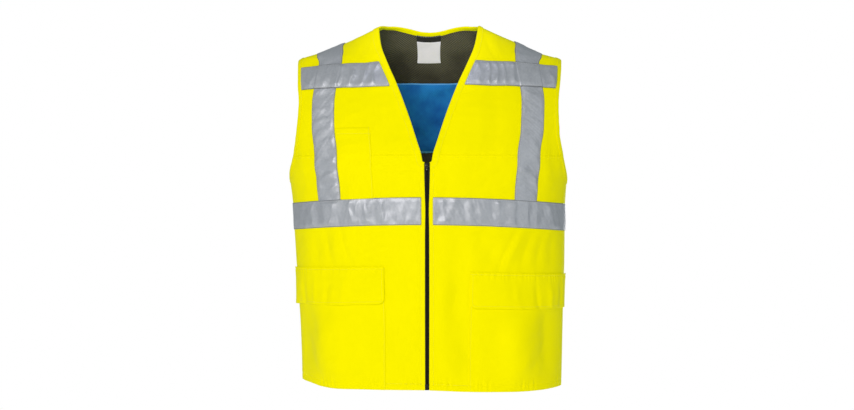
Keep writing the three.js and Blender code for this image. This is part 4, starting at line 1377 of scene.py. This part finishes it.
def tape(name, node, face, grid, kind, seed, offsets, across, step=0):
    # across is the axis of the grid that runs over the tape's width
    point, normal = onBody(face, *grid)
    place = point[..., 0] if across == 0 else grid[1]
    if across == 1:
        point, normal, place = (np.swapaxes(a, 0, 1) for a in (point, normal, place))
    along = lengthsAlong(point, 1)
    over = lengthsAlong(point, 0)
    over = over * (tapeLook["width"] / np.maximum(over[-1:], 1e-6))
    lift = tapeLift(kind, seed, place, over, along)
    if kind.startswith("waist") and face == "front":
        lift = lift * smooth((along[:, -1:] - along) / (26 * mm))
    lift = lift + step
    piece = clothSheet(name, (point, normal), offsets[0], offsets[1] + lift, reflective, alongRows=True)
    dress(piece, "tape", node)
    inset = tapeSize["inset"] / tapeLook["width"]
    for share in (inset, 1 - inset):
        at = share * (point.shape[0] - 1)
        low = int(at)
        blend = at - low
        spot = lerp(point[low], point[low + 1], blend)
        out = lerp(normal[low], normal[low + 1], blend)
        high = lerp(lift[low], lift[low + 1], blend)
        stitchLine("grey", spot + out * (offsets[1] + high + 0.05 * mm)[:, None])
    return piece


def addTapes():
    braceRows = spaced(0, level["waistTape"] - 0.4 * mm, tapeSize["step"])
    for name, side in sides.items():
        for face in ("front", "back"):
            kind = f"brace_{name}" if face == "front" else "plain"
            grid = clothGrid(face, side, "braceInner", "braceOuter", braceRows, tapeSize["step"])
            tape(f"brace_{face}_{name}Tape", f"brace_{face}_{name}", face, grid, kind, 51 + 3 * side, layer["tape"], 1)
        rows = np.linspace(level["chestTape"], level["chestTapeEnd"], 30)
        grid = clothGrid("front", side, "facing", "armFacing", rows, tapeSize["step"])
        grid = tuple(g[:, 1:-1] for g in grid)
        # it rises where it crosses the brace
        angles = columnAngles("front", side, rows)[4:6, :, None]
        over = np.minimum(np.abs(grid[0]) - angles[0], angles[1] - np.abs(grid[0])) * form["shoulderHalf"]
        step = tapeSize["crossing"] * smooth(over / (1.6 * mm) + 0.5)
        inner, outer = tapeSize["chestDrop"][name]
        grid = (grid[0], grid[1] + lerp(inner, outer, np.linspace(0, 1, grid[0].shape[1])[None, :]))
        tape(f"chestTape_{name}", f"chest_tape_{name}", "front", grid, f"chest_{name}", 61 + 4 * side, layer["chestTape"], 0, step)
        rows = np.linspace(level["waistTape"], level["waistTapeEnd"], 30)
        grid = clothGrid("front", side, "facing", "armEdge", rows, tapeSize["step"])
        tape(f"waistTape_{name}", f"waist_tape_front_{name}", "front", grid, f"waist_{name}", 71 + 5 * side, layer["tape"], 0)
    rows = np.linspace(level["waistTape"], level["waistTapeEnd"], 26)
    grid = backGrid("armEdge", rows, 2.2 * mm)
    tape("waistTape_back", "waist_tape_back", "back", grid, "plain", 81, layer["tape"], 0)


addTapes()
print("tapes made")

pocketSize = {
    "step": 2.6 * mm,
    "bag": 2.2 * mm,
    "flapFold": 1.9 * mm,
    "wing": {"left": 1.5 * mm, "right": 5.5 * mm},
    "flapDrop": {"left": (-1.4 * mm, -3.4 * mm), "right": (1.6 * mm, 4.2 * mm)},
    "corner": 11 * mm,
    "hemInset": 3.5 * mm,
    "edgeInset": 3 * mm,
}
# Folds of the flaps: share across from the inner edge, height, width
flapFolds = {
    "left": [(0.36, 1.2, 7), (0.54, -2.0, 6), (0.68, 1.7, 7), (0.82, -2.5, 8), (0.93, 1.2, 6)],
    "right": [(0.33, 1.3, 7), (0.47, -1.5, 6), (0.6, 1.5, 6), (0.73, -2.1, 7), (0.88, 1.4, 7)],
}


def addPockets():
    for name, side in sides.items():
        flapTop = level["flapLeft"] if name == "left" else level["flapRight"]
        flapBottom = flapTop + level["flapHeight"]
        step = pocketSize["step"]
        rows = spaced(flapTop + level["pocketTuck"], form["length"], step, [level["hem"]])
        grid = clothGrid("front", side, "pocket", "armEdge", rows, step)
        point, normal = onBody("front", *grid)
        across = lengthsAlong(point, 1)
        wide = across[:, -1:]
        down = (rows[:, None] - rows[0]) / (rows[-1] - rows[0])
        bag = pocketSize["bag"] * np.sin(np.pi * np.clip(across / wide, 0, 1)) ** 0.8 * np.sin(np.pi * np.clip(down * 0.96, 0, 1)) ** 0.6
        hemLine = rows[:, None] - level["hem"] + 0 * across
        lift = bag + groove(hemLine, 0.6 * mm) + hemPucker(across, hemLine)
        lift = lift + groove(across - pocketSize["edgeInset"], 0.4 * mm)
        lift = np.maximum(lift, -0.2 * mm)
        pocket = clothSheet(f"lowerPocket_{name}", (point, normal), layer["pocket"][0], layer["pocket"][1] + 0.4 * mm + lift, shellCloth)
        dress(pocket, "shell", f"lower_pocket_{name}")
        inset = np.argmin(np.abs(across[0] - pocketSize["edgeInset"]))
        stitchLine("yellow", point[:, inset] + normal[:, inset] * (layer["pocket"][1] + 0.4 * mm + lift[:, inset])[:, None])

        rows = spaced(flapTop, flapBottom, 2.2 * mm, [flapTop + pocketSize["hemInset"]])
        corner = pocketSize["corner"]

        def rounded(angle, rowDrop):
            low = np.maximum(0, rowDrop - (flapBottom - corner))
            shift = (corner - np.sqrt(np.maximum(corner**2 - low**2, 0)))[:, None]
            half = halfAt(rowDrop)[:, None]
            x = half * np.sin(angle)
            span = x[:, -1:] - x[:, :1]
            x = x + shift * np.exp(-(((x - x[:, :1]) / (0.25 * span)) ** 2))
            return np.where(angle > 1.35, angle, np.arcsin(np.clip(x / half, 0, 1)))

        angle, drop = clothGrid("front", side, "pocket", "armEdge", rows, 2.2 * mm, rounded)
        down = (rows[:, None] - flapTop) / level["flapHeight"] + 0 * angle
        inner, outer = pocketSize["flapDrop"][name]
        drop = drop + down * lerp(inner, outer, np.linspace(0, 1, angle.shape[1])[None, :])
        point, normal = onBody("front", angle, drop)
        across = lengthsAlong(point, 1)
        wide = across[:, -1:]
        lift = np.zeros_like(across)
        for place, height, width in flapFolds[name]:
            over = across - wide * place - 8 * mm * (down - 0.5)
            lift += height * mm * np.exp(-((over / (width * mm)) ** 2)) * smooth(down * 1.6)
        lift = lift + 2.6 * mm * smooth(down * 1.3)
        outside = smooth((across - wide * 0.78) / (wide * 0.22))
        lift = lift * (1 - 0.9 * outside) + pocketSize["wing"][name] * outside * down**2
        fromTop = rows[:, None] - flapTop - pocketSize["hemInset"] + 0 * across
        lift = lift + groove(fromTop, 0.8 * mm) + pucker(across, fromTop, 0.3 * mm)
        lift = np.maximum(lift, -0.5 * mm)
        flap = clothSheet(f"pocketFlap_{name}", (point, normal), layer["flap"][0] + lift, layer["flap"][1] + lift, shellCloth)
        dress(flap, "shell", f"pocket_flap_{name}")
        row = np.argmin(np.abs(rows - flapTop - pocketSize["hemInset"]))
        stitchLine("yellow", point[row] + normal[row] * (layer["flap"][1] + lift[row])[:, None])
        low = np.argmin(np.abs(rows - (flapBottom - pocketSize["hemInset"])))
        inset = np.argmin(np.abs(across[0] - pocketSize["edgeInset"]))
        downEdge = point[row:low, inset] + normal[row:low, inset] * (layer["flap"][1] + lift[row:low, inset])[:, None]
        alongHem = point[low, inset:] + normal[low, inset:] * (layer["flap"][1] + lift[low, inset:])[:, None]
        stitchLine("yellow", np.concatenate([downEdge, alongHem]))
    rows = spaced(level["penPocket"], level["waistTape"] - 0.4 * mm, pocketSize["step"], [level["penPocket"] + 11 * mm])
    grid = clothGrid("front", -1, "penPocket", "braceInner", rows, 2.2 * mm)
    grid = tuple(g[:, :-1] for g in grid)
    point, normal = onBody("front", *grid)
    across = lengthsAlong(point, 1)
    wide = across[:, -1:]
    fromTop = rows[:, None] - level["penPocket"] + 0 * across
    lift = 0.8 * mm * np.sin(np.pi * across / wide) ** 0.7
    lift = lift + groove(fromTop - 11 * mm, 0.35 * mm) + groove(across - wide * 0.66, 0.3 * mm) * (fromTop > 11 * mm)
    lift = np.maximum(lift, -0.2 * mm)
    pen = clothSheet("penPocket", (point, normal), layer["pocket"][0], layer["pocket"][1] + lift, shellCloth)
    dress(pen, "shell", "chest_pocket")
    row = np.argmin(np.abs(fromTop[:, 0] - 11 * mm))
    stitchLine("yellow", point[row] + normal[row] * (layer["pocket"][1] + lift[row])[:, None])
    stitchLine("yellow", point[:, 1] + normal[:, 1] * (layer["pocket"][1] + lift[:, 1])[:, None])


addPockets()
print("pockets made")

insideSize = {
    "liningStep": 4.5 * mm,
    "coolingTop": 99 * mm,
    "coolingHeight": 138 * mm,
    "padThick": 5.4 * mm,
    "padEdge": 1.6 * mm,
    "labelTop": 4.4 * mm,
    "labelAside": -4 * mm,
    "tab": 12.4 * mm,
    "care": 41.5 * mm,
}


def addInside():
    rows = spaced(2.4 * mm, level["hem"] - 0.4 * mm, insideSize["liningStep"])
    grid = backGrid("armEdge", rows, insideSize["liningStep"])
    point, normal = onBody("back", *grid)
    slack = 0.8 * mm * (ripples(91, 60 * mm, 0.3, 1.2)(point[..., 0], point[..., 2]) - 1.6)
    slack = np.minimum(slack, 0) * smooth((rows[:, None] - 20 * mm) / (60 * mm))
    edge = np.minimum(lengthsAlong(point, 1), lengthsAlong(point[:, ::-1], 1)[:, ::-1])
    slack = slack * smooth(edge / (40 * mm))
    lining = clothSheet("meshLining", (point, normal), layer["lining"][0] + slack, layer["lining"][1] + slack, liningMesh)
    dress(lining, "mesh_lining", "back_lining")
    top = insideSize["coolingTop"]
    height = insideSize["coolingHeight"]
    rows = spaced(top, top + height, 2.6 * mm, [top + 2 * mm, top + height - 2 * mm])
    grid = backGrid("cooling", rows, 3 * mm)
    point, normal = onBody("back", *grid)
    across = lengthsAlong(point, 1)
    edge = np.minimum(across, across[:, -1:] - across)
    edge = np.minimum(edge, np.minimum(rows - top, top + height - rows)[:, None])
    crown = np.sqrt(np.clip(edge / (14 * mm), 0, 1) * (2 - np.clip(edge / (14 * mm), 0, 1)))
    dimple = ripples(93, 42 * mm)(point[..., 0], point[..., 2])
    thick = insideSize["padEdge"] + (insideSize["padThick"] - insideSize["padEdge"]) * crown
    thick = thick + 0.35 * mm * dimple * crown
    seam = groove(edge - 3 * mm, 0.5 * mm, 1.2 * mm)
    inner = layer["padBack"] - thick - seam
    pad = clothSheet("coolingPad", (point, normal), inner, layer["padBack"], coolingFinish("coolingCloth", top, height))
    dress(pad, "cooling_cloth", "cooling_panel")
    for name, start, end, material, slotName, node, sag in (
        ("labelTab", insideSize["labelTop"], insideSize["labelTop"] + insideSize["tab"], blackTab, "label_black", "label_tab", 0),
        ("careLabel", insideSize["labelTop"] + insideSize["tab"], insideSize["labelTop"] + insideSize["tab"] + insideSize["care"],
         labelSatin, "label_white", "care_label", 1.6 * mm),
    ):
        rows = spaced(start + 0.3 * mm, end, 1.6 * mm)
        angle, drop = backGrid("label", rows, 1.6 * mm)
        point, normal = onBody("back", angle + insideSize["labelAside"] / halfAt(drop), drop)
        down = (rows[:, None] - start) / (end - start)
        across = lengthsAlong(point, 1) / (2 * labelHalf)
        curl = -sag * smooth(down) * (0.6 + 0.5 * np.sin(np.pi * across) + 0.2 * np.sin(7 * across + 1))
        label = clothSheet(name, (point, normal), layer["label"][0] + curl, layer["label"][1] + curl, material)
        dress(label, slotName, node)
        if sag == 0:
            row = np.argmin(np.abs(rows - start - 1.5 * mm))
            stitchLine("white", point[row] + normal[row] * layer["label"][0])


addInside()
print("inside made")

zipSize = {
    "start": 268.3 * mm,
    "end": 669.6 * mm,
    "tapeEnd": 12.2 * mm,
    "tapeStart": 0.15 * mm,
    "tapeWall": 0.8 * mm,
    "pitch": 1.25 * mm,
    "toothOut": 0.95 * mm,
    "toothLong": 1.7 * mm,
    "toothWide": 0.46 * mm,
    "toothHigh": 0.8 * mm,
    "core": 2.2 * mm,
}


def zipPlace(x, drop):
    return onBody("front", np.arcsin(x / halfAt(drop)), drop)


def geometryTree(name, inputs, output="Geometry"):
    tree = bpy.data.node_groups.new(name, "GeometryNodeTree")
    tree.interface.new_socket("Geometry", in_out="INPUT", socket_type="NodeSocketGeometry")
    for label, kind in inputs:
        tree.interface.new_socket(label, in_out="INPUT", socket_type=kind)
    tree.interface.new_socket("Geometry", in_out="OUTPUT", socket_type="NodeSocketGeometry")
    maker = NodeMaker(tree)
    return tree, maker, maker.node("NodeGroupInput"), maker


def grainTree(name, alternate):
    # small grains in a row along a line of edges; alternate sets them to both sides in turn
    floats = ["Pitch", "Long", "Wide", "High", "Out"]
    inputs = [(label, "NodeSocketFloat") for label in floats] + [("Material", "NodeSocketMaterial")]
    tree, maker, given, _ = geometryTree(name, inputs)
    curve = maker.node("GeometryNodeMeshToCurve", None, {"Mesh": given["Geometry"]})["Curve"]
    if bpy.app.version >= (4, 5, 0):
        spacedOut = maker.node("GeometryNodeResampleCurve", {"mode": "LENGTH"}, {"Curve": curve, "Length": given["Pitch"]})
    curve = spacedOut["Curve"]
    points = maker.node("GeometryNodeCurveToPoints", {"mode": "EVALUATED"}, {"Curve": curve})
    turn = maker.node(
        "FunctionNodeAlignRotationToVector", {"axis": "X"}, {"Vector": points["Tangent"]}
    )["Rotation"]
    cloud = points["Points"]
    if alternate:
        index = maker.node("GeometryNodeInputIndex")["Index"]
        way = index.maths("MODULO", 2) * 2 - 1
        offset = maker.node("ShaderNodeCombineXYZ", None, {"X": way * given["Out"]})["Vector"]
        cloud = maker.node("GeometryNodeSetPosition", None, {"Geometry": cloud, "Offset": offset})["Geometry"]
    ball = maker.node("GeometryNodeMeshIcoSphere", None, {"Radius": 1.0, "Subdivisions": 2 if alternate else 1})["Mesh"]
    size = maker.node("ShaderNodeCombineXYZ", None, {"X": given["Long"], "Y": given["High"], "Z": given["Wide"]})["Vector"]
    values = {"Points": cloud, "Instance": ball, "Rotation": turn, "Scale": size}
    grains = maker.node("GeometryNodeInstanceOnPoints", None, values)["Instances"]
    real = maker.node("GeometryNodeRealizeInstances", None, {"Geometry": grains})["Geometry"]
    soft = maker.node("GeometryNodeSetShadeSmooth", None, {"Geometry": real})["Geometry"]
    done = maker.node("GeometryNodeSetMaterial", None, {"Geometry": soft, "Material": given["Material"]})["Geometry"]
    maker.node("NodeGroupOutput", None, {"Geometry": done})
    return tree


def lineObject(name, runs):
    # the runs as one mesh of edges
    points = np.concatenate(runs)
    edges = []
    start = 0
    for run in runs:
        ids = np.arange(start, start + len(run))
        edges.append(np.stack([ids[:-1], ids[1:]], -1))
        start += len(run)
    edges = np.concatenate(edges)
    data = bpy.data.meshes.new(name)
    data.vertices.add(len(points))
    data.vertices.foreach_set("co", points.astype(np.float32).ravel())
    data.edges.add(len(edges))
    data.edges.foreach_set("vertices", edges.astype(np.int32).ravel())
    data.update()
    return addObject(name, data)


def grown(name, runs, tree, sizes, material):
    # the tree's grains along the runs, as a plain mesh
    thing = lineObject(name + "Line", runs)
    modifier = thing.modifiers.new("grains", "NODES")
    modifier.node_group = tree
    sockets = {item.name: item.identifier for item in tree.interface.items_tree if item.in_out == "INPUT"}
    for key, value in {**sizes, "Material": material}.items():
        modifier[sockets[key]] = value
    depsgraph = bpy.context.evaluated_depsgraph_get()
    data = bpy.data.meshes.new_from_object(thing.evaluated_get(depsgraph))
    thing.modifiers.remove(modifier)
    bpy.data.objects.remove(thing)
    data.name = name
    piece = addObject(name, data)
    return piece


stitchTree = grainTree("stitches", False)
coilTree = grainTree("coil", True)


def addZip():
    drops = spaced(zipSize["start"], zipSize["end"], 3 * mm)
    for name, side in sides.items():
        x = np.linspace(zipSize["tapeStart"], zipSize["tapeEnd"], 8)[None, :] * side + 0 * drops[:, None]
        surface = zipPlace(x, drops[:, None] + 0 * x)
        wall = zipSize["tapeWall"] / 2
        rise = 0.25 * mm * np.exp(-(((np.abs(x) - 3.4 * mm) / (0.6 * mm)) ** 2))
        strip = clothSheet(f"zipTape_{name}", surface, layer["zip"] - wall, layer["zip"] + wall + rise, zipCloth)
        dress(strip, "zip_cloth", f"zip_tape_{name}")
    point, normal = zipPlace(0 * drops, drops)
    chain = point + normal * (layer["zip"] + 0.75 * mm)
    sizes = {
        "Pitch": zipSize["pitch"] / 2,
        "Long": zipSize["toothWide"],
        "Wide": zipSize["toothLong"],
        "High": zipSize["toothHigh"],
        "Out": zipSize["toothOut"],
    }
    coil = grown("zipCoil", [chain], coilTree, sizes, coilNylon)
    dress(coil, "zip_teeth", "zip_teeth")


addZip()
print("zip made")


def hardPiece(name, node, body, slotName, material, bevel, lower=0):
    # a merged copy of a hard solid, with softened edges
    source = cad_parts[node]
    data = source.data.copy()
    data.name = name
    data.materials.clear()
    data.materials.append(material)
    piece = addObject(name, data)
    import bmesh
    work = bmesh.new()
    work.from_mesh(data)
    bmesh.ops.remove_doubles(work, verts=work.verts, dist=0.01 * mm)
    bmesh.ops.dissolve_limit(work, angle_limit=math.radians(2), verts=work.verts, edges=work.edges)
    sharp = [e for e in work.edges if len(e.link_faces) == 2 and e.calc_face_angle() > math.radians(35)]
    bmesh.ops.bevel(work, geom=sharp, offset=bevel, segments=2, affect="EDGES", clamp_overlap=True, profile=0.6)
    bmesh.ops.recalc_face_normals(work, faces=work.faces)
    for corner in work.verts:
        corner.co.z -= lower
    for face in work.faces:
        face.smooth = True
    work.to_mesh(data)
    work.free()
    data.set_sharp_from_angle(angle=math.radians(40))
    dress(piece, slotName, node, body=body)
    return piece


hardPiece("zipSlider", "zip_slider", "vest", "zip_metal", zipMetal, 0.2 * mm)
hardPiece("zipPuller", "zip_puller", "puller", "zip_metal", zipMetal, 0.2 * mm)
hardPiece("zipBox", "zip_box", "vest", "zip_teeth", coilNylon, 0.5 * mm, 2.2 * mm)


# Stitch lines of the shell: beside the zip, above the hem and below the cross seam
def addShellStitches():
    for side in sides.values():
        rows = spaced(level["join"] + 0.3 * mm, form["length"], 4 * mm)
        grid = clothGrid("front", side, "facing", "pocket", rows, 1.0)
        point, normal = onBody("front", *grid)
        stitchLine("yellow", point[:, 0] + normal[:, 0] * -0.4 * mm)
        for drop in (level["join"] + 5 * mm, level["hem"]):
            row = np.array([drop, drop + 1 * mm])
            grid = clothGrid("front", side, "facing", "armEdge", row, 3 * mm)
            point, normal = onBody("front", *grid)
            stitchLine("yellow", point[0] + normal[0] * -0.4 * mm)
    row = np.array([level["hem"], level["hem"] + 1 * mm])
    point, normal = onBody("back", *backGrid("armEdge", row, 3 * mm))
    stitchLine("yellow", point[0] + normal[0] * -0.4 * mm)


addShellStitches()

stitchSize = {"Pitch": 3.3 * mm, "Long": 1.35 * mm, "Wide": 0.28 * mm, "High": 0.24 * mm, "Out": 0.0}
for kind, thread, slotName in (
    ("yellow", yellowThread, "shell"),
    ("grey", greyThread, "tape"),
    ("white", whiteThread, "label_white"),
):
    piece = grown(f"{kind}Stitches", stitchRuns[kind], stitchTree, stitchSize, thread)
    dress(piece, slotName)
print("stitches made")

# Studio: a white world, a pale floor well below the vest, and soft light from the left
studio = {
    "floorDrop": 1.1,
    "floorRadius": 2.3,
    "floorGlow": 0.25,
    "ambient": 0.35,
    "airColour": (0.92, 1.01, 1.0),
    "keyColour": (1.0, 0.94, 0.89),
    "neckColour": (0.97, 0.95, 1.2),
}


def addLight(name, place, target, size, power, colour=(1, 1, 1)):
    data = bpy.data.lights.new(name, "AREA")
    data.shape = "RECTANGLE"
    data.size, data.size_y = size
    data.energy = power
    data.color = colour
    lamp = addObject(name, data)
    lamp.location = place
    lamp.rotation_euler = (Vector(target) - Vector(place)).to_track_quat("-Z", "Y").to_euler()
    lamp.visible_camera = False


def addSpot(name, place, target, angle, power, colour):
    data = bpy.data.lights.new(name, "SPOT")
    data.spot_size = angle
    data.spot_blend = 0.7
    data.shadow_soft_size = 0.05
    data.energy = power
    data.color = colour
    lamp = addObject(name, data)
    lamp.location = place
    lamp.rotation_euler = (Vector(target) - Vector(place)).to_track_quat("-Z", "Y").to_euler()
    lamp.visible_camera = False


def addStudio():
    world = bpy.data.worlds.new("whiteRoom")
    bpy.context.scene.world = world
    world.use_nodes = True
    world.node_tree.nodes.clear()
    maker = NodeMaker(world.node_tree)
    seen = maker.node("ShaderNodeLightPath")["Is Camera Ray"]
    strength = seen * (1 - studio["ambient"]) + studio["ambient"]
    colour = maker.node("ShaderNodeMix", {"data_type": "RGBA"}, {0: seen, 6: (*studio["airColour"], 1), 7: (1, 1, 1, 1)})
    values = {"Color": colour[2], "Strength": strength}
    shader = maker.node("ShaderNodeBackground", None, values)["Background"]
    maker.node("ShaderNodeOutputWorld", None, {"Surface": shader})
    turns = np.linspace(0, 2 * math.pi, 96, endpoint=False)
    radius = studio["floorRadius"]
    round = [(radius * math.cos(t), radius * math.sin(t), -studio["floorDrop"]) for t in turns]
    data = bpy.data.meshes.new("floor")
    data.from_pydata(round, [], [tuple(range(len(round)))])
    f = Finish("paleFloor")
    pale = (0.88, 0.88, 0.88)
    data.materials.append(f.finish(pale, 0.9, Emission_Color=(*pale, 1), Emission_Strength=studio["floorGlow"]))
    addObject("floor", data)
    middle = (0, 0, -0.35)
    addLight("keyLight", (-0.75, -3.0, 0.42), middle, (1.1, 1.1), 45.5, studio["keyColour"])
    addLight("fillLight", (2.3, -1.7, 0.1), middle, (0.3, 1.8), 6)
    addLight("sideLight", (-2.5, -1.4, 0.1), middle, (0.3, 1.8), 3)
    addLight("topLight", (0.2, -2.3, 1.45), (0, 0, -0.1), (1.6, 0.25), 4)
    addSpot("neckLight", (0.0, -0.62, 0.5), (0, 0.1, -0.12), math.radians(24), 7, studio["neckColour"])
    addLight("backLight", (0.5, 2.7, -0.1), middle, (1.8, 1.2), 36)
    bpy.context.scene.view_settings.view_transform = "Standard"


addStudio()


def declareSheets():
    for name, (wide, long, area) in flatSizes.items():
        if name == "coolingPad":
            continue
        print(f"flat {name} {wide / mm:.0f} x {long / mm:.0f} mm, {area * 1e4:.0f} cm2")


declareSheets()
